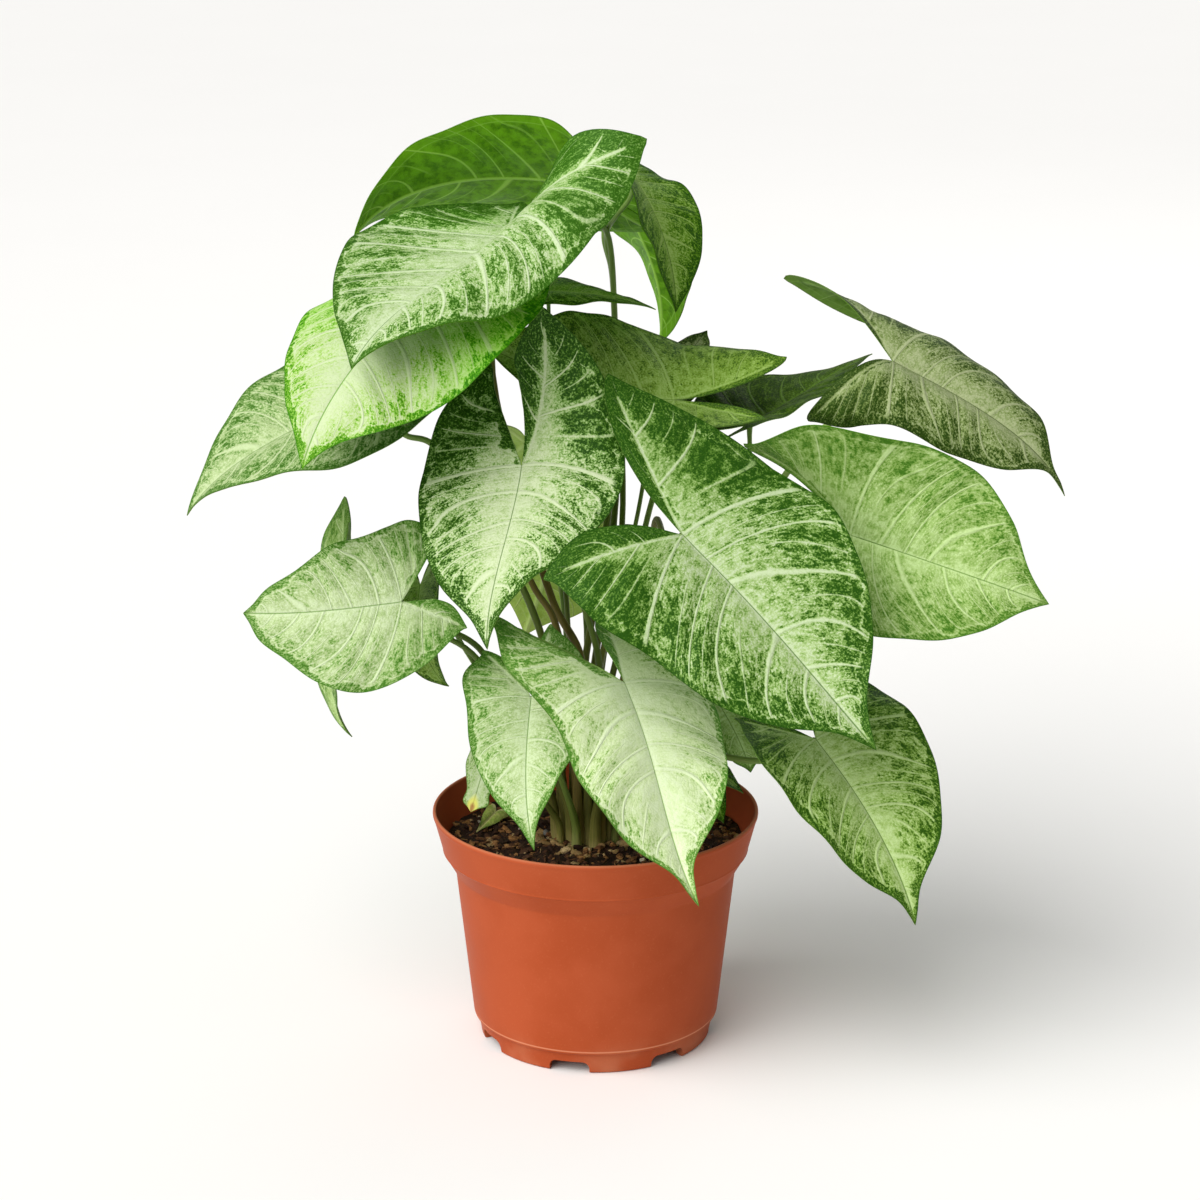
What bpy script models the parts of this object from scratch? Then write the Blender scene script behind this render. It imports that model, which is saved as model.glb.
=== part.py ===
# Potted syngonium: a plastic nursery pot, its soil, the crown of the plant, and a stalk and a blade
# for every leaf. Lengths are in metres and angles in degrees. +X is right, +Y is back, +Z is up,
# and the pot stands on z = 0 with its axis on the Z axis.

import math

import bmesh
import bpy
import numpy as np

# ---------------------------------------------------------------- driving dimensions
rim_radius = 0.0762
pot_height = 0.111
wall = 0.0016
band_height = 0.019  # the collar below the rim
band_step = 0.006  # how far the collar stands out from the body
band_slope = 0.0095  # height of the shoulder under the collar
lip_height = 0.003
body_top_radius = 0.0657  # where the tapered body meets the collar's shoulder
body_foot_radius = 0.0576  # where the body ends, on the line above the foot
foot_line = 0.011
foot_radius = 0.0543
foot_ring_width = 0.0042
base_rise = 0.0025  # the base plate is held this far off the ground by the foot ring
round_steps = 48  # divisions of every turned piece

notch_count = 7
notch_width = 0.019
notch_height = 0.0056
first_notch = -13.0  # degrees from the front

gap = 0.0003  # between pieces that rest on each other
soil_level = 0.0945
soil_mound = 0.0015
crown_radius = 0.0165
crown_centre = np.array([-0.004, 0.0])
crown_depth = 0.014
crown_top = soil_level + 0.001

blade_thickness = 0.0008
thinnest_foot = 0.0011  # a stalk's radius at its foot is this and a share of the blade's length
foot_share = 0.0085
thinnest_tip = 0.0007  # and the same at the blade
tip_share = 0.0045
foot_rings = (0, 0.0049, 0.0097, 0.0142)  # radii of the rings on which the stalks stand

# Every pair is (right half, left half), seen from above with the tip ahead. Widths, lobes and
# places along the blade are fractions of its length from stalk to tip.
usual_blade = dict(
    width=(0.42, 0.42),  # greatest half width
    widest=(0.12, 0.12),  # how far along the blade that is
    lobe=(0.5, 0.5),  # length of the lobe behind the stalk
    spread=(42, 42),  # angle of the lobe from straight back
    sinus=(14, 14),  # how far the lobe's inner edge bulges towards the notch
    bulge=(0.13, 0.13),  # how far its outer edge bulges
    tip_width=1.0,  # fullness of the drawn-out tip
    arch=20,  # bend of the midrib, evenly along its length
    droop=20,  # further bend near the tip
    lobe_arch=(15, 15),  # bend of each lobe
    fold=(12, 12),  # rise of each half from the midrib at the stalk
    tip_fold=(12, 12),  # and at the tip
    lobe_fold=(0, 0),  # further rise along the lobe
    curl=(20, 20),  # how far each half bends down again towards its edge
    twist=0,
    sweep=0,  # sideways bend of the midrib
    neck=0.1,  # share of the stalk that runs straight to the blade
)

# How finely the blades and stalks are divided.
large_blade = 0.06
large_steps = (4, 6, (0, 0.4, 0.75, 1))  # along a lobe's rib, along the midrib, from rib to edge
small_steps = (3, 4, (0, 0.55, 1))
rib_share = 0.86  # a lobe's rib is this share of the lobe
stalk_sides = 6

# at is the joint of stalk and blade. heading is the way the tip points, from +X towards +Y, pitch
# its rise and roll the rise of the right half. foot is the stalk's ring and angle on the crown, and
# via the points that it passes.
leaves = {
    "top_back": dict(
        at=(-0.009, 0.076, 0.392), length=0.115, heading=173, pitch=8, roll=-43, width=(0.4, 0.49),
        widest=(0.1, 0.16), lobe=(0.45, 0.36), spread=(42, 50), bulge=(0.12, 0.1), arch=35, droop=40,
        lobe_arch=(0, 0), fold=(-5, -15), tip_fold=(15, 10), lobe_fold=(0, -5), curl=(-20, -15),
        tip_width=1.1,
        foot=(2, 128),
        via=((0.007, 0.062, 0.247), (0.009, 0.103, 0.322), (0.004, 0.091, 0.368)),
    ),
    "top_front": dict(
        at=(-0.04, 0.018, 0.378), length=0.116, heading=-129, pitch=-17, roll=-25, width=(0.57, 0.52),
        widest=(0.16, 0.2), lobe=(0.46, 0.72), spread=(36, 52), sinus=(14, 30), bulge=(0.12, 0.02),
        arch=-10, droop=35, lobe_arch=(25, -80), fold=(20, 40), tip_fold=(15, -5), lobe_fold=(-20, 15),
        curl=(-20, 105), twist=10, tip_width=0.9,
        foot=(2, 248),
        via=(
            (-0.007, 0.002, 0.184),
            (-0.02, 0.014, 0.208),
            (-0.048, 0.038, 0.319),
            (-0.039, 0.03, 0.342),
        ),
    ),
    "upper_left": dict(
        at=(-0.0725, 0.0, 0.359), length=0.108, heading=-134, pitch=-23, roll=9, width=(0.45, 0.5),
        widest=(0.24, 0.22), lobe=(0.5, 0.54), spread=(42, 40), arch=25, droop=25, fold=(10, 15),
        tip_fold=(10, -15), lobe_fold=(0, -5), curl=(40, 30), twist=10, sweep=-5, tip_width=0.8,
        foot=(1, 210),
        via=((-0.019, 0.002, 0.202), (-0.029, 0.009, 0.217), (-0.063, 0.023, 0.307)),
    ),
    "far_left": dict(
        at=(-0.096, 0.019, 0.308), length=0.11, heading=-166, pitch=-20, roll=13, width=(0.43, 0.46),
        widest=(0.14, 0.2), lobe=(0.5, 0.42), spread=(42, 38), bulge=(0.14, 0.08), arch=5, droop=35,
        fold=(20, 20), tip_fold=(15, 20), curl=(10, 40), tip_width=0.8,
        foot=(2, 188),
        via=((-0.027, 0.016, 0.196), (-0.075, 0.024, 0.28)),
    ),
    "centre": dict(
        at=(-0.033, -0.018, 0.281), length=0.096, heading=-101, pitch=-46, roll=-30, width=(0.5, 0.51),
        lobe=(0.64, 0.76), spread=(26, 20), sinus=(0, 24), bulge=(0.12, 0.06), arch=-25, droop=35,
        lobe_arch=(5, -85), fold=(20, -5), tip_fold=(20, 15), lobe_fold=(15, 5), curl=(5, 45),
        sweep=-5, tip_width=0.7,
        foot=(2, 278),
        via=((0.002, -0.012, 0.182), (-0.005, -0.012, 0.212)),
    ),
    "largest": dict(
        at=(0.0385, -0.055, 0.2595), length=0.128, heading=-32, pitch=-35, roll=-25, width=(0.41, 0.49),
        widest=(0.26, 0.16), lobe=(0.54, 0.66), spread=(70, 20), sinus=(22, 12), bulge=(0.06, 0.06),
        droop=-10, lobe_arch=(0, -15), fold=(15, 10), tip_fold=(0, 25), lobe_fold=(-5, 0),
        curl=(30, 20), twist=-15, tip_width=0.7,
        foot=(2, -52),
        via=((0.025, 0.017, 0.228), (0.028, 0.003, 0.25)),
    ),
    "middle_right": dict(
        at=(0.116, -0.005, 0.245), length=0.098, heading=-30, pitch=-9, roll=-60, width=(0.45, 0.58),
        widest=(0.28, 0.2), lobe=(0.5, 0.62), spread=(42, 44), sinus=(14, 4), arch=25,
        lobe_arch=(15, 35), fold=(25, 30), tip_fold=(5, -5), lobe_fold=(0, 40), curl=(5, -35), twist=5,
        sweep=-5, tip_width=0.8,
        foot=(1, -30),
        via=((0.034, 0.013, 0.166), (0.08, 0.008, 0.2)),
    ),
    "far_right": dict(
        at=(0.135, 0.012, 0.322), length=0.104, heading=-13, pitch=-24, roll=-24, width=(0.34, 0.34),
        lobe=(0.58, 0.74), spread=(66, 40), sinus=(8, 6), bulge=(0.1, 0.14), arch=10, droop=40,
        lobe_arch=(25, -25), fold=(40, 25), tip_fold=(-5, 15), lobe_fold=(-15, -20), curl=(95, 65),
        twist=-10, tip_width=0.3,
        foot=(1, 30),
        via=((0.049, 0.015, 0.205), (0.106, 0.023, 0.289)),
    ),
    "back_right": dict(
        at=(0.072, 0.053, 0.282), length=0.073, heading=29, pitch=20, roll=6, width=(0.44, 0.47),
        lobe=(0.38, 0.4), arch=-10, droop=15, fold=(25, 25), tip_fold=(0, -10), lobe_fold=(5, 0),
        curl=(20, -5), twist=5,
        foot=(2, 38),
        via=((0.026, 0.021, 0.172), (0.051, 0.039, 0.233)),
    ),
    "back_centre": dict(
        at=(0.036, 0.028, 0.3), length=0.092, heading=174, pitch=3, roll=24, width=(0.54, 0.42),
        widest=(0.3, 0.1), lobe=(0.62, 0.5), spread=(24, 18), sinus=(8, 16), bulge=(0.12, 0.16),
        arch=-30, droop=5, lobe_arch=(-25, -10), tip_fold=(35, 10), lobe_fold=(25, -15),
        curl=(40, -25), twist=15, sweep=5,
        foot=(0, 0),
        via=((0.009, 0.009, 0.178), (0.024, 0.02, 0.246)),
    ),
    "folded_right": dict(
        at=(0.019, 0.077, 0.393), length=0.066, heading=-44, pitch=-45, roll=9, width=(0.36, 0.44),
        lobe=(0.3, 0.3), spread=(42, 44), bulge=(0.14, 0.06), arch=35, droop=10, lobe_arch=(15, 20),
        fold=(25, -10), tip_fold=(5, 25), lobe_fold=(0, -20), curl=(-5, -20), twist=-10, sweep=-5,
        neck=0.03, foot=(1, 90),
        via=((0.0125, 0.057, 0.231), (0.0093, 0.1075, 0.3129), (0.0088, 0.1115, 0.3287),
            (0.0074, 0.11, 0.3446), (0.005, 0.104, 0.3604), (0.0096, 0.082, 0.3753)),
    ),
    "hanging_back": dict(
        at=(0.0125, 0.128, 0.373), length=0.085, heading=42, pitch=-53, roll=-9, lobe=(0.32, 0.32),
        droop=25, fold=(15, 5),
        tip_fold=(15, 30), curl=(15, 25), twist=-10, sweep=-5, tip_width=1.1,
        neck=0.03, foot=(2, 98),
        via=((0.0095, 0.068, 0.241), (0.0093, 0.113, 0.3116), (0.0088, 0.117, 0.3274),
            (0.0074, 0.1175, 0.343), (0.004, 0.116, 0.358), (0.005, 0.118, 0.3668)),
    ),
    "edge_on": dict(
        at=(-0.022, 0.056, 0.345), length=0.051, heading=-4, pitch=0, roll=0, arch=15, droop=5,
        fold=(10, 15), tip_fold=(5, 0), curl=(25, 20), twist=5,
        foot=(1, 150),
        via=((-0.013, 0.02, 0.196), (-0.018, 0.04, 0.279)),
    ),
    "lower_left": dict(
        at=(-0.088, -0.021, 0.218), length=0.073, heading=-172, pitch=-5, roll=60, width=(0.48, 0.54),
        widest=(0.12, 0.3), lobe=(0.58, 0.44), spread=(56, 30), sinus=(4, 28), bulge=(0.14, 0.08),
        arch=10, droop=10, lobe_arch=(15, 10), fold=(5, 10), tip_fold=(20, 10), lobe_fold=(5, 0),
        curl=(25, 20), twist=5, sweep=15, tip_width=1.3,
        foot=(2, 218),
        via=((-0.057, -0.004, 0.188),),
    ),
    "hanging_left": dict(
        at=(-0.117, 0.015, 0.212), length=0.071, heading=-131, pitch=-66, roll=-28, width=(0.4, 0.41),
        lobe=(0.68, 0.58), spread=(30, 40), arch=25, droop=30, lobe_arch=(20, -5), fold=(15, 25),
        tip_fold=(10, 15), lobe_fold=(25, 25), curl=(20, 10),
        foot=(3, 178),
        via=((-0.054, 0.001, 0.189), (-0.075, -0, 0.2)),
    ),
    "small_left": dict(
        at=(-0.082, 0.032, 0.21), length=0.055, heading=-99, pitch=-38, roll=-40, width=(0.43, 0.38),
        arch=45, droop=40, fold=(15, 15), tip_fold=(15, 20), curl=(15, 10), twist=-5, tip_width=1.1,
        foot=(2, 158),
        via=((-0.036, 0.013, 0.144), (-0.061, 0.023, 0.181)),
    ),
    "low_front": dict(
        at=(0.013, -0.059, 0.192), length=0.107, heading=-62, pitch=-38, roll=14, widest=(0.16, 0.04),
        lobe=(0.64, 0.48), spread=(56, 18), sinus=(0, 16), arch=45, droop=-35, lobe_arch=(5, 70),
        fold=(5, 5), tip_fold=(5, 30), lobe_fold=(5, 10), curl=(15, 15), twist=-15, sweep=-15,
        tip_width=0.5,
        foot=(3, -75),
        via=((0.004, -0.029, 0.136), (0.009, -0.045, 0.167)),
    ),
    "low_front_left": dict(
        at=(-0.029, -0.035, 0.177), length=0.074, heading=-97, pitch=-39, roll=-18, width=(0.4, 0.43),
        widest=(0.06, 0.08), lobe=(0.5, 0.52), spread=(46, 10), bulge=(0.16, 0.1), arch=15, droop=25,
        lobe_arch=(25, 0), fold=(20, 15), tip_fold=(15, 20), lobe_fold=(-10, 10), curl=(5, 30),
        twist=-5, sweep=-5, tip_width=0.7,
        foot=(3, -110),
        via=((-0.02, -0.025, 0.146),),
    ),
    "lower_right": dict(
        at=(0.1, -0.038, 0.158), length=0.099, heading=-52, pitch=-29, roll=-10, width=(0.37, 0.48),
        widest=(0.24, 0.12), lobe=(0.4, 0.46), spread=(58, 40), arch=30, lobe_arch=(20, 15),
        fold=(15, 10), tip_fold=(5, 15), lobe_fold=(-15, 0), curl=(-5, 15), twist=-5, tip_width=0.6,
        foot=(2, -22),
        via=((0.032, -0.025, 0.147), (0.075, -0.031, 0.145)),
    ),
    "young_back": dict(
        at=(0.026, 0.068, 0.291), length=0.049, heading=50, pitch=29, roll=-16, width=(0.44, 0.31),
        widest=(0.16, 0.1), lobe=(0.4, 0.4), arch=-5, droop=0, lobe_arch=(10, 10), fold=(20, 20),
        tip_fold=(25, 25), curl=(10, 10), tip_width=1.3,
        foot=(2, 68),
        via=((0.004, 0.037, 0.173), (0.02, 0.051, 0.24)),
    ),
    "low_right": dict(
        at=(0.053, 0.007, 0.167), length=0.045, heading=-53, pitch=-36, roll=-8, width=(0.46, 0.53),
        widest=(0.1, 0.18), lobe=(0.42, 0.42), arch=15, tip_width=1.5,
        foot=(2, 8),
        via=((0.032, 0.004, 0.141),),
    ),
    "rim_right": dict(
        at=(0.045, -0.002, 0.138), length=0.03, heading=-15, pitch=-30, roll=-8, width=(0.43, 0.38),
        lobe=(0.42, 0.42), arch=10, droop=0,
        foot=(3, 0),
        via=((0.029, -0.002, 0.124),),
    ),
    "inner_right": dict(
        at=(0.043, -0.02, 0.14), length=0.033, heading=-51, pitch=-35, roll=-15, width=(0.43, 0.4),
        lobe=(0.42, 0.42), arch=15, droop=10, tip_width=1.1,
        foot=(3, -25),
        via=((0.026, -0.013, 0.125),),
    ),
    "old_left": dict(
        at=(-0.045, -0.012, 0.158), length=0.044, heading=-125, pitch=-61, roll=-5, width=(0.28, 0.31),
        widest=(0.4, 0.4), lobe=(0.42, 0.42), arch=0, droop=0, fold=(5, 5), tip_fold=(0, 0),
        tip_width=2.4,
        foot=(3, -150),
        via=((-0.024, -0.01, 0.118),),
    ),
    "behind_stalks": dict(
        at=(-0.0175, 0.078, 0.219), length=0.071, heading=115, pitch=-55, roll=-30, width=(0.57, 0.44),
        widest=(0.18, 0.18), lobe=(0.42, 0.42), arch=5, droop=0, tip_width=0.9,
        foot=(3, 112),
        via=((-0.012, 0.035, 0.147), (-0.015, 0.059, 0.187)),
    ),
    "hidden_left": dict(
        at=(-0.033, 0.084, 0.265), length=0.088, heading=114, pitch=-28, roll=-8, width=(0.43, 0.46),
        lobe=(0.38, 0.4),
        foot=(3, 145),
        via=((-0.004, 0.036, 0.18), (-0.015, 0.069, 0.23)),
    ),
    "hidden_right": dict(
        at=(0.052, 0.082, 0.212), length=0.084, heading=58, pitch=-34, roll=6, width=(0.45, 0.42),
        lobe=(0.46, 0.5),
        foot=(3, 50),
        via=((0.021, 0.034, 0.145), (0.038, 0.061, 0.183)),
    ),
}


def clear_scene():
    for item in list(bpy.data.objects):
        bpy.data.objects.remove(item, do_unlink=True)


def painted(name, colour, roughness):
    """A plain material: colour is linear red, green and blue."""
    material = bpy.data.materials.new(name)
    material.use_nodes = True
    surface = material.node_tree.nodes["Principled BSDF"]
    surface.inputs["Base Color"].default_value = (*colour, 1.0)
    surface.inputs["Roughness"].default_value = roughness
    surface.inputs["Metallic"].default_value = 0.0
    material.diffuse_color = (*colour, 1.0)
    return material


def add_mesh(name, points, faces, material):
    mesh = bpy.data.meshes.new(name)
    mesh.from_pydata([tuple(map(float, point)) for point in points], [], faces)
    mesh.materials.append(material)
    mesh.validate()
    item = bpy.data.objects.new(name, mesh)
    bpy.context.scene.collection.objects.link(item)
    return item


def turned(name, profile, material, sharp_degrees=35):
    """Turns an outline of (radius, height) points about the Z axis. Its two ends lie on the axis."""
    points = []
    faces = []
    rings = []
    for radius, height in profile:
        if radius == 0:
            rings.append([len(points)] * round_steps)
            points.append((0.0, 0.0, height))
            continue
        rings.append(list(range(len(points), len(points) + round_steps)))
        for step in range(round_steps):
            angle = math.tau * step / round_steps
            points.append((radius * math.cos(angle), radius * math.sin(angle), height))
    for ring, above in zip(rings, rings[1:]):
        for step in range(round_steps):
            after = (step + 1) % round_steps
            corners = [ring[step], ring[after], above[after], above[step]]
            faces.append(tuple(dict.fromkeys(corners)))
    item = add_mesh(name, points, faces, material)
    item.data.shade_smooth()
    item.data.set_sharp_from_angle(angle=math.radians(sharp_degrees))
    return item


def cutter(name, points, faces):
    mesh = bpy.data.meshes.new(name)
    mesh.from_pydata(points, [], faces)
    shape = bmesh.new()
    shape.from_mesh(mesh)
    bmesh.ops.recalc_face_normals(shape, faces=shape.faces)
    shape.to_mesh(mesh)
    shape.free()
    item = bpy.data.objects.new(name, mesh)
    item.hide_render = True
    item.display_type = "WIRE"
    bpy.context.scene.collection.objects.link(item)
    return item


def place_cutter(tool, centre):
    tool.location = (*centre, 0.0)
    tool.hide_render = True
    tool.display_type = "WIRE"


def cut(item, tool):
    boolean = item.modifiers.new(tool.name, "BOOLEAN")
    boolean.operation = "DIFFERENCE"
    boolean.solver = "EXACT"
    boolean.object = tool


# ---------------------------------------------------------------- pot and soil
def outer_wall():
    """The pot's outside as (radius, height), from the foot up to the rim."""
    band_foot = pot_height - band_height
    return [
        (foot_radius - 0.0006, 0.0),
        (foot_radius, 0.0006),
        (foot_radius + 0.0014, foot_line - 0.0012),
        (body_foot_radius, foot_line - 0.0004),
        (body_foot_radius + 0.0002, foot_line + 0.0004),
        (body_top_radius, band_foot - band_slope),
        (body_top_radius + band_step - 0.0006, band_foot - 0.0005),
        (body_top_radius + band_step, band_foot + 0.0004),
        (rim_radius - 0.0006, pot_height - lip_height),
        (rim_radius, pot_height - 0.0016),
        (rim_radius - 0.0001, pot_height - 0.0005),
        (rim_radius - 0.0007, pot_height),
    ]


def inner_wall():
    """The pot's inside as (radius, height), from the rim down to the floor."""
    band_foot = pot_height - band_height
    return [
        (rim_radius - 0.0016, pot_height - 0.0002),
        (rim_radius - 0.0022, pot_height - lip_height),
        (body_top_radius + band_step - wall, band_foot + 0.0010),
        (body_top_radius + band_step - 0.0010 - wall, band_foot - 0.0020),
        (body_top_radius - wall, band_foot - band_slope - 0.0007),
        (body_foot_radius + 0.0002 - wall, foot_line + 0.0006),
        (body_foot_radius - 0.0012 - wall, foot_line - 0.0040),
        (body_foot_radius - 0.0042 - wall, base_rise + wall),
    ]


def make_pot():
    plastic = painted("terracotta_plastic", (0.48, 0.115, 0.048), 0.42)
    ring_inside = foot_radius - foot_ring_width
    underside = [
        (0, base_rise),
        (ring_inside - 0.0010, base_rise),
        (ring_inside, 0.0),
    ]
    profile = underside + outer_wall() + inner_wall() + [(0, base_rise + wall)]
    pot = turned("pot", profile, plastic)
    for index in range(notch_count):
        turn = math.radians(first_notch + 360 * index / notch_count - 90)
        cut(pot, notch_cutter(f"notch_{index + 1}", turn))
    return pot


def notch_cutter(name, turn):
    """An arch-shaped opening through the foot ring, with round upper corners."""
    half = notch_width / 2
    corner = notch_height * 0.62
    arch = [(-half, -0.002), (half, -0.002)]
    for side, first in ((1, 0), (-1, 90)):
        for step in range(5):
            angle = math.radians(first + 90 * step / 4)
            across = side * (half - corner) + corner * math.cos(angle)
            arch.append((across, notch_height - corner + corner * math.sin(angle)))
    points = []
    for radius in (foot_radius - foot_ring_width - 0.004, foot_radius + 0.006):
        for across, height in arch:
            x = radius * math.cos(turn) - across * math.sin(turn)
            y = radius * math.sin(turn) + across * math.cos(turn)
            points.append((x, y, height))
    count = len(arch)
    faces = [tuple(range(count)), tuple(range(count, 2 * count))]
    for step in range(count):
        after = (step + 1) % count
        faces.append((step, after, after + count, step + count))
    return cutter(name, points, faces)


def make_soil():
    """Fills the pot to just below the rim, with a shallow pit for the crown."""
    earth = painted("potting_soil", (0.045, 0.022, 0.012), 0.95)
    inside = [(radius - gap, height) for radius, height in inner_wall() if height < soil_level]
    inside.reverse()
    inside[0] = (inside[0][0], inside[0][1] + gap)
    low_radius, low_height = inside[-1]
    next_radius, next_height = inner_wall()[1]
    share = (soil_level - low_height) / (next_height - low_height)
    brim = low_radius + (next_radius - gap - low_radius) * share
    top = [
        (brim, soil_level),
        (brim * 0.86, soil_level + soil_mound * 0.1),
        (brim * 0.62, soil_level + soil_mound * 0.7),
        (brim * 0.4, soil_level + soil_mound),
        (0, soil_level + soil_mound),
    ]
    profile = [(0, base_rise + wall + gap)] + inside + top
    soil = turned("soil", profile, earth)
    pit = crown_radius + gap
    floor = soil_level - crown_depth
    outline = [(0, floor), (pit, floor), (pit, soil_level + 0.01), (0, soil_level + 0.01)]
    tool = turned("crown_pit", outline, earth)
    place_cutter(tool, crown_centre)
    cut(soil, tool)
    return soil


def make_crown():
    """The short rootstock that sits in the soil and carries all the stalks on its flat top."""
    bark = painted("crown_bark", (0.16, 0.115, 0.045), 0.8)
    foot = soil_level - crown_depth + gap
    profile = [
        (0, foot),
        (crown_radius - 0.002, foot),
        (crown_radius, foot + 0.002),
        (crown_radius, crown_top - 0.0015),
        (crown_radius - 0.0015, crown_top),
        (0, crown_top),
    ]
    crown = turned("crown", profile, bark)
    crown.location = (*crown_centre, 0.0)
    return crown


# ---------------------------------------------------------------- blades
def smooth_through(points, steps):
    """A smooth line through the given points (Catmull-Rom), with this many steps between two of them."""
    points = np.asarray(points, float)
    ends = np.vstack([2 * points[0] - points[1], points, 2 * points[-1] - points[-2]])
    line = []
    for first, start, end, last in zip(ends, ends[1:], ends[2:], ends[3:]):
        before = max(np.linalg.norm(start - first), 1e-9) ** 0.5
        here = max(np.linalg.norm(end - start), 1e-9) ** 0.5
        after = max(np.linalg.norm(last - end), 1e-9) ** 0.5
        leave = (start - first) / before - (end - first) / (before + here) + (end - start) / here
        arrive = (end - start) / here - (last - start) / (here + after) + (last - end) / after
        t = np.linspace(0, 1, steps, endpoint=False)[:, None]
        line.append(
            (2 * t**3 - 3 * t**2 + 1) * start
            + (t**3 - 2 * t**2 + t) * here * leave
            + (3 * t**2 - 2 * t**3) * end
            + (t**3 - t**2) * here * arrive
        )
    line.append(points[-1:])
    return np.vstack(line)


def evenly(line, count):
    """The line again, as this many equal steps."""
    run = np.concatenate([[0], np.cumsum(np.linalg.norm(np.diff(line, axis=0), axis=1))])
    at = np.linspace(0, run[-1], count + 1)
    return np.stack([np.interp(at, run, line[:, 0]), np.interp(at, run, line[:, 1])], axis=1)


def edge_of_half(leaf, side):
    """One half's edge, flat, from the stalk round the lobe to the tip, and where the lobe ends."""

    def ray(length, degrees):
        angle = math.radians(degrees)
        return length * np.array([math.sin(angle), -math.cos(angle)])

    lobe = leaf["lobe"][side]
    spread = leaf["spread"][side]
    sinus = leaf["sinus"][side]
    end = ray(lobe, spread)
    along = end / lobe
    outwards = np.array([-along[1], along[0]])
    shoulder = np.array([leaf["width"][side], leaf["widest"][side]])
    run = shoulder - end
    bulge = leaf["bulge"][side] * np.array([run[1], -run[0]])
    points = [
        np.zeros(2),
        ray(0.33 * lobe, spread - 1.15 * sinus),
        ray(0.7 * lobe, spread - 0.7 * sinus),
        end - 0.045 * lobe * along - 0.04 * lobe * outwards,
        end,
        end - 0.05 * lobe * along + 0.05 * lobe * outwards,
        end + 0.5 * run + bulge,
        shoulder,
    ]
    left = 1 - shoulder[1]
    fullness = leaf["tip_width"]
    for share, width in ((0.34, 0.84), (0.62, 0.53), (0.82, 0.25 * fullness), (0.93, 0.085 * fullness)):
        points.append(np.array([shoulder[0] * width, shoulder[1] + share * left]))
    points.append(np.array([0.0, 1.0]))
    steps = 8
    return smooth_through(points, steps), 4 * steps


def rows_of_half(leaf, side):
    """Rows of flat points from rib to edge: round the lobe's rib and back, then along the midrib."""
    edge, lobe_end = edge_of_half(leaf, side)
    steps = large_steps if leaf["length"] > large_blade else small_steps
    lobe_steps, front_steps, across_steps = steps
    split = lobe_end + int(np.argmin(np.abs(edge[lobe_end:, 1] - 0.9 * leaf["widest"][side])))
    inner = evenly(edge[: lobe_end + 1], lobe_steps)
    outer = evenly(edge[lobe_end : split + 1], lobe_steps)
    front = evenly(edge[split:], front_steps)
    rib_end = rib_share * edge[lobe_end]
    rows = [(rib_end * i / lobe_steps, inner[i], -0.05) for i in range(lobe_steps + 1)]
    rows += [(rib_end * (1 - i / lobe_steps), outer[i], 0.1) for i in range(1, lobe_steps + 1)]
    rows += [(np.array([0, (i / front_steps) ** 1.15]), front[i], 0.1) for i in range(1, front_steps + 1)]
    lines = []
    share = np.array(across_steps)[:, None]
    for root, rim, arch in rows:
        run = rim - root
        control = root + 0.5 * run + arch * np.array([run[1], -run[0]])
        lines.append((1 - share) ** 2 * root + 2 * share * (1 - share) * control + share**2 * rim)
    lines = np.array(lines)
    least = np.where(lines[:, :, 1] < -1e-6, -0.03 * lines[:, :, 1], 0)
    lines[:, :, 0] = np.maximum(lines[:, :, 0], least)
    return lines


def bend(leaf, flat):
    """Takes flat points (right, ahead) in metres to their places on the bent blade."""
    length = leaf["length"]
    right = flat[:, 0]
    along = flat[:, 1] / length
    placed = np.zeros((len(flat), 3))
    line = np.linspace(-1.3, 1.1, 241)
    ahead = np.clip(line, 0, None)
    behind = np.clip(-line, 0, None)
    sweep = np.radians(leaf["sweep"] * ahead**2)
    for side, sign in ((0, 1), (1, -1)):
        mine = right >= 0 if sign > 0 else right < 0
        rise = leaf["lobe_arch"][side] * behind - leaf["arch"] * ahead - leaf["droop"] * ahead**3
        rise = np.radians(rise)
        spine = []
        for slope in (np.cos(rise) * np.cos(sweep), np.cos(rise) * np.sin(sweep), np.sin(rise)):
            run = np.concatenate([[0], np.cumsum((slope[1:] + slope[:-1]) / 2 * (line[1] - line[0]))])
            spine.append(length * np.interp(along[mine], line, run - np.interp(0, line, run)))
        here = along[mine]
        across = np.abs(right[mine])
        fold = leaf["fold"][side] + (leaf["tip_fold"][side] - leaf["fold"][side]) * np.clip(here, 0, 1)
        fold = np.radians(fold + leaf["lobe_fold"][side] * np.clip(-here, 0, None))
        curl = np.radians(leaf["curl"][side] * across / (2 * leaf["width"][side] * length))
        reach = across * np.sinc(curl / math.pi)
        out = sign * reach * np.cos(fold - curl)
        up = reach * np.sin(fold - curl)
        turn = np.radians(leaf["twist"] * np.clip(here, 0, None))
        out, up = out * np.cos(turn) - up * np.sin(turn), out * np.sin(turn) + up * np.cos(turn)
        slope = np.interp(here, line, rise)
        swing = np.interp(here, line, sweep)
        placed[mine, 0] = spine[0] - out * np.sin(swing) - up * np.sin(slope) * np.cos(swing)
        placed[mine, 1] = spine[1] + out * np.cos(swing) - up * np.sin(slope) * np.sin(swing)
        placed[mine, 2] = spine[2] + up * np.cos(slope)
    ahead_axis, right_axis, up_axis = blade_axes(leaf)
    return (
        np.array(leaf["at"])
        + placed[:, 0:1] * ahead_axis
        + placed[:, 1:2] * right_axis
        + placed[:, 2:3] * up_axis
    )


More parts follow.
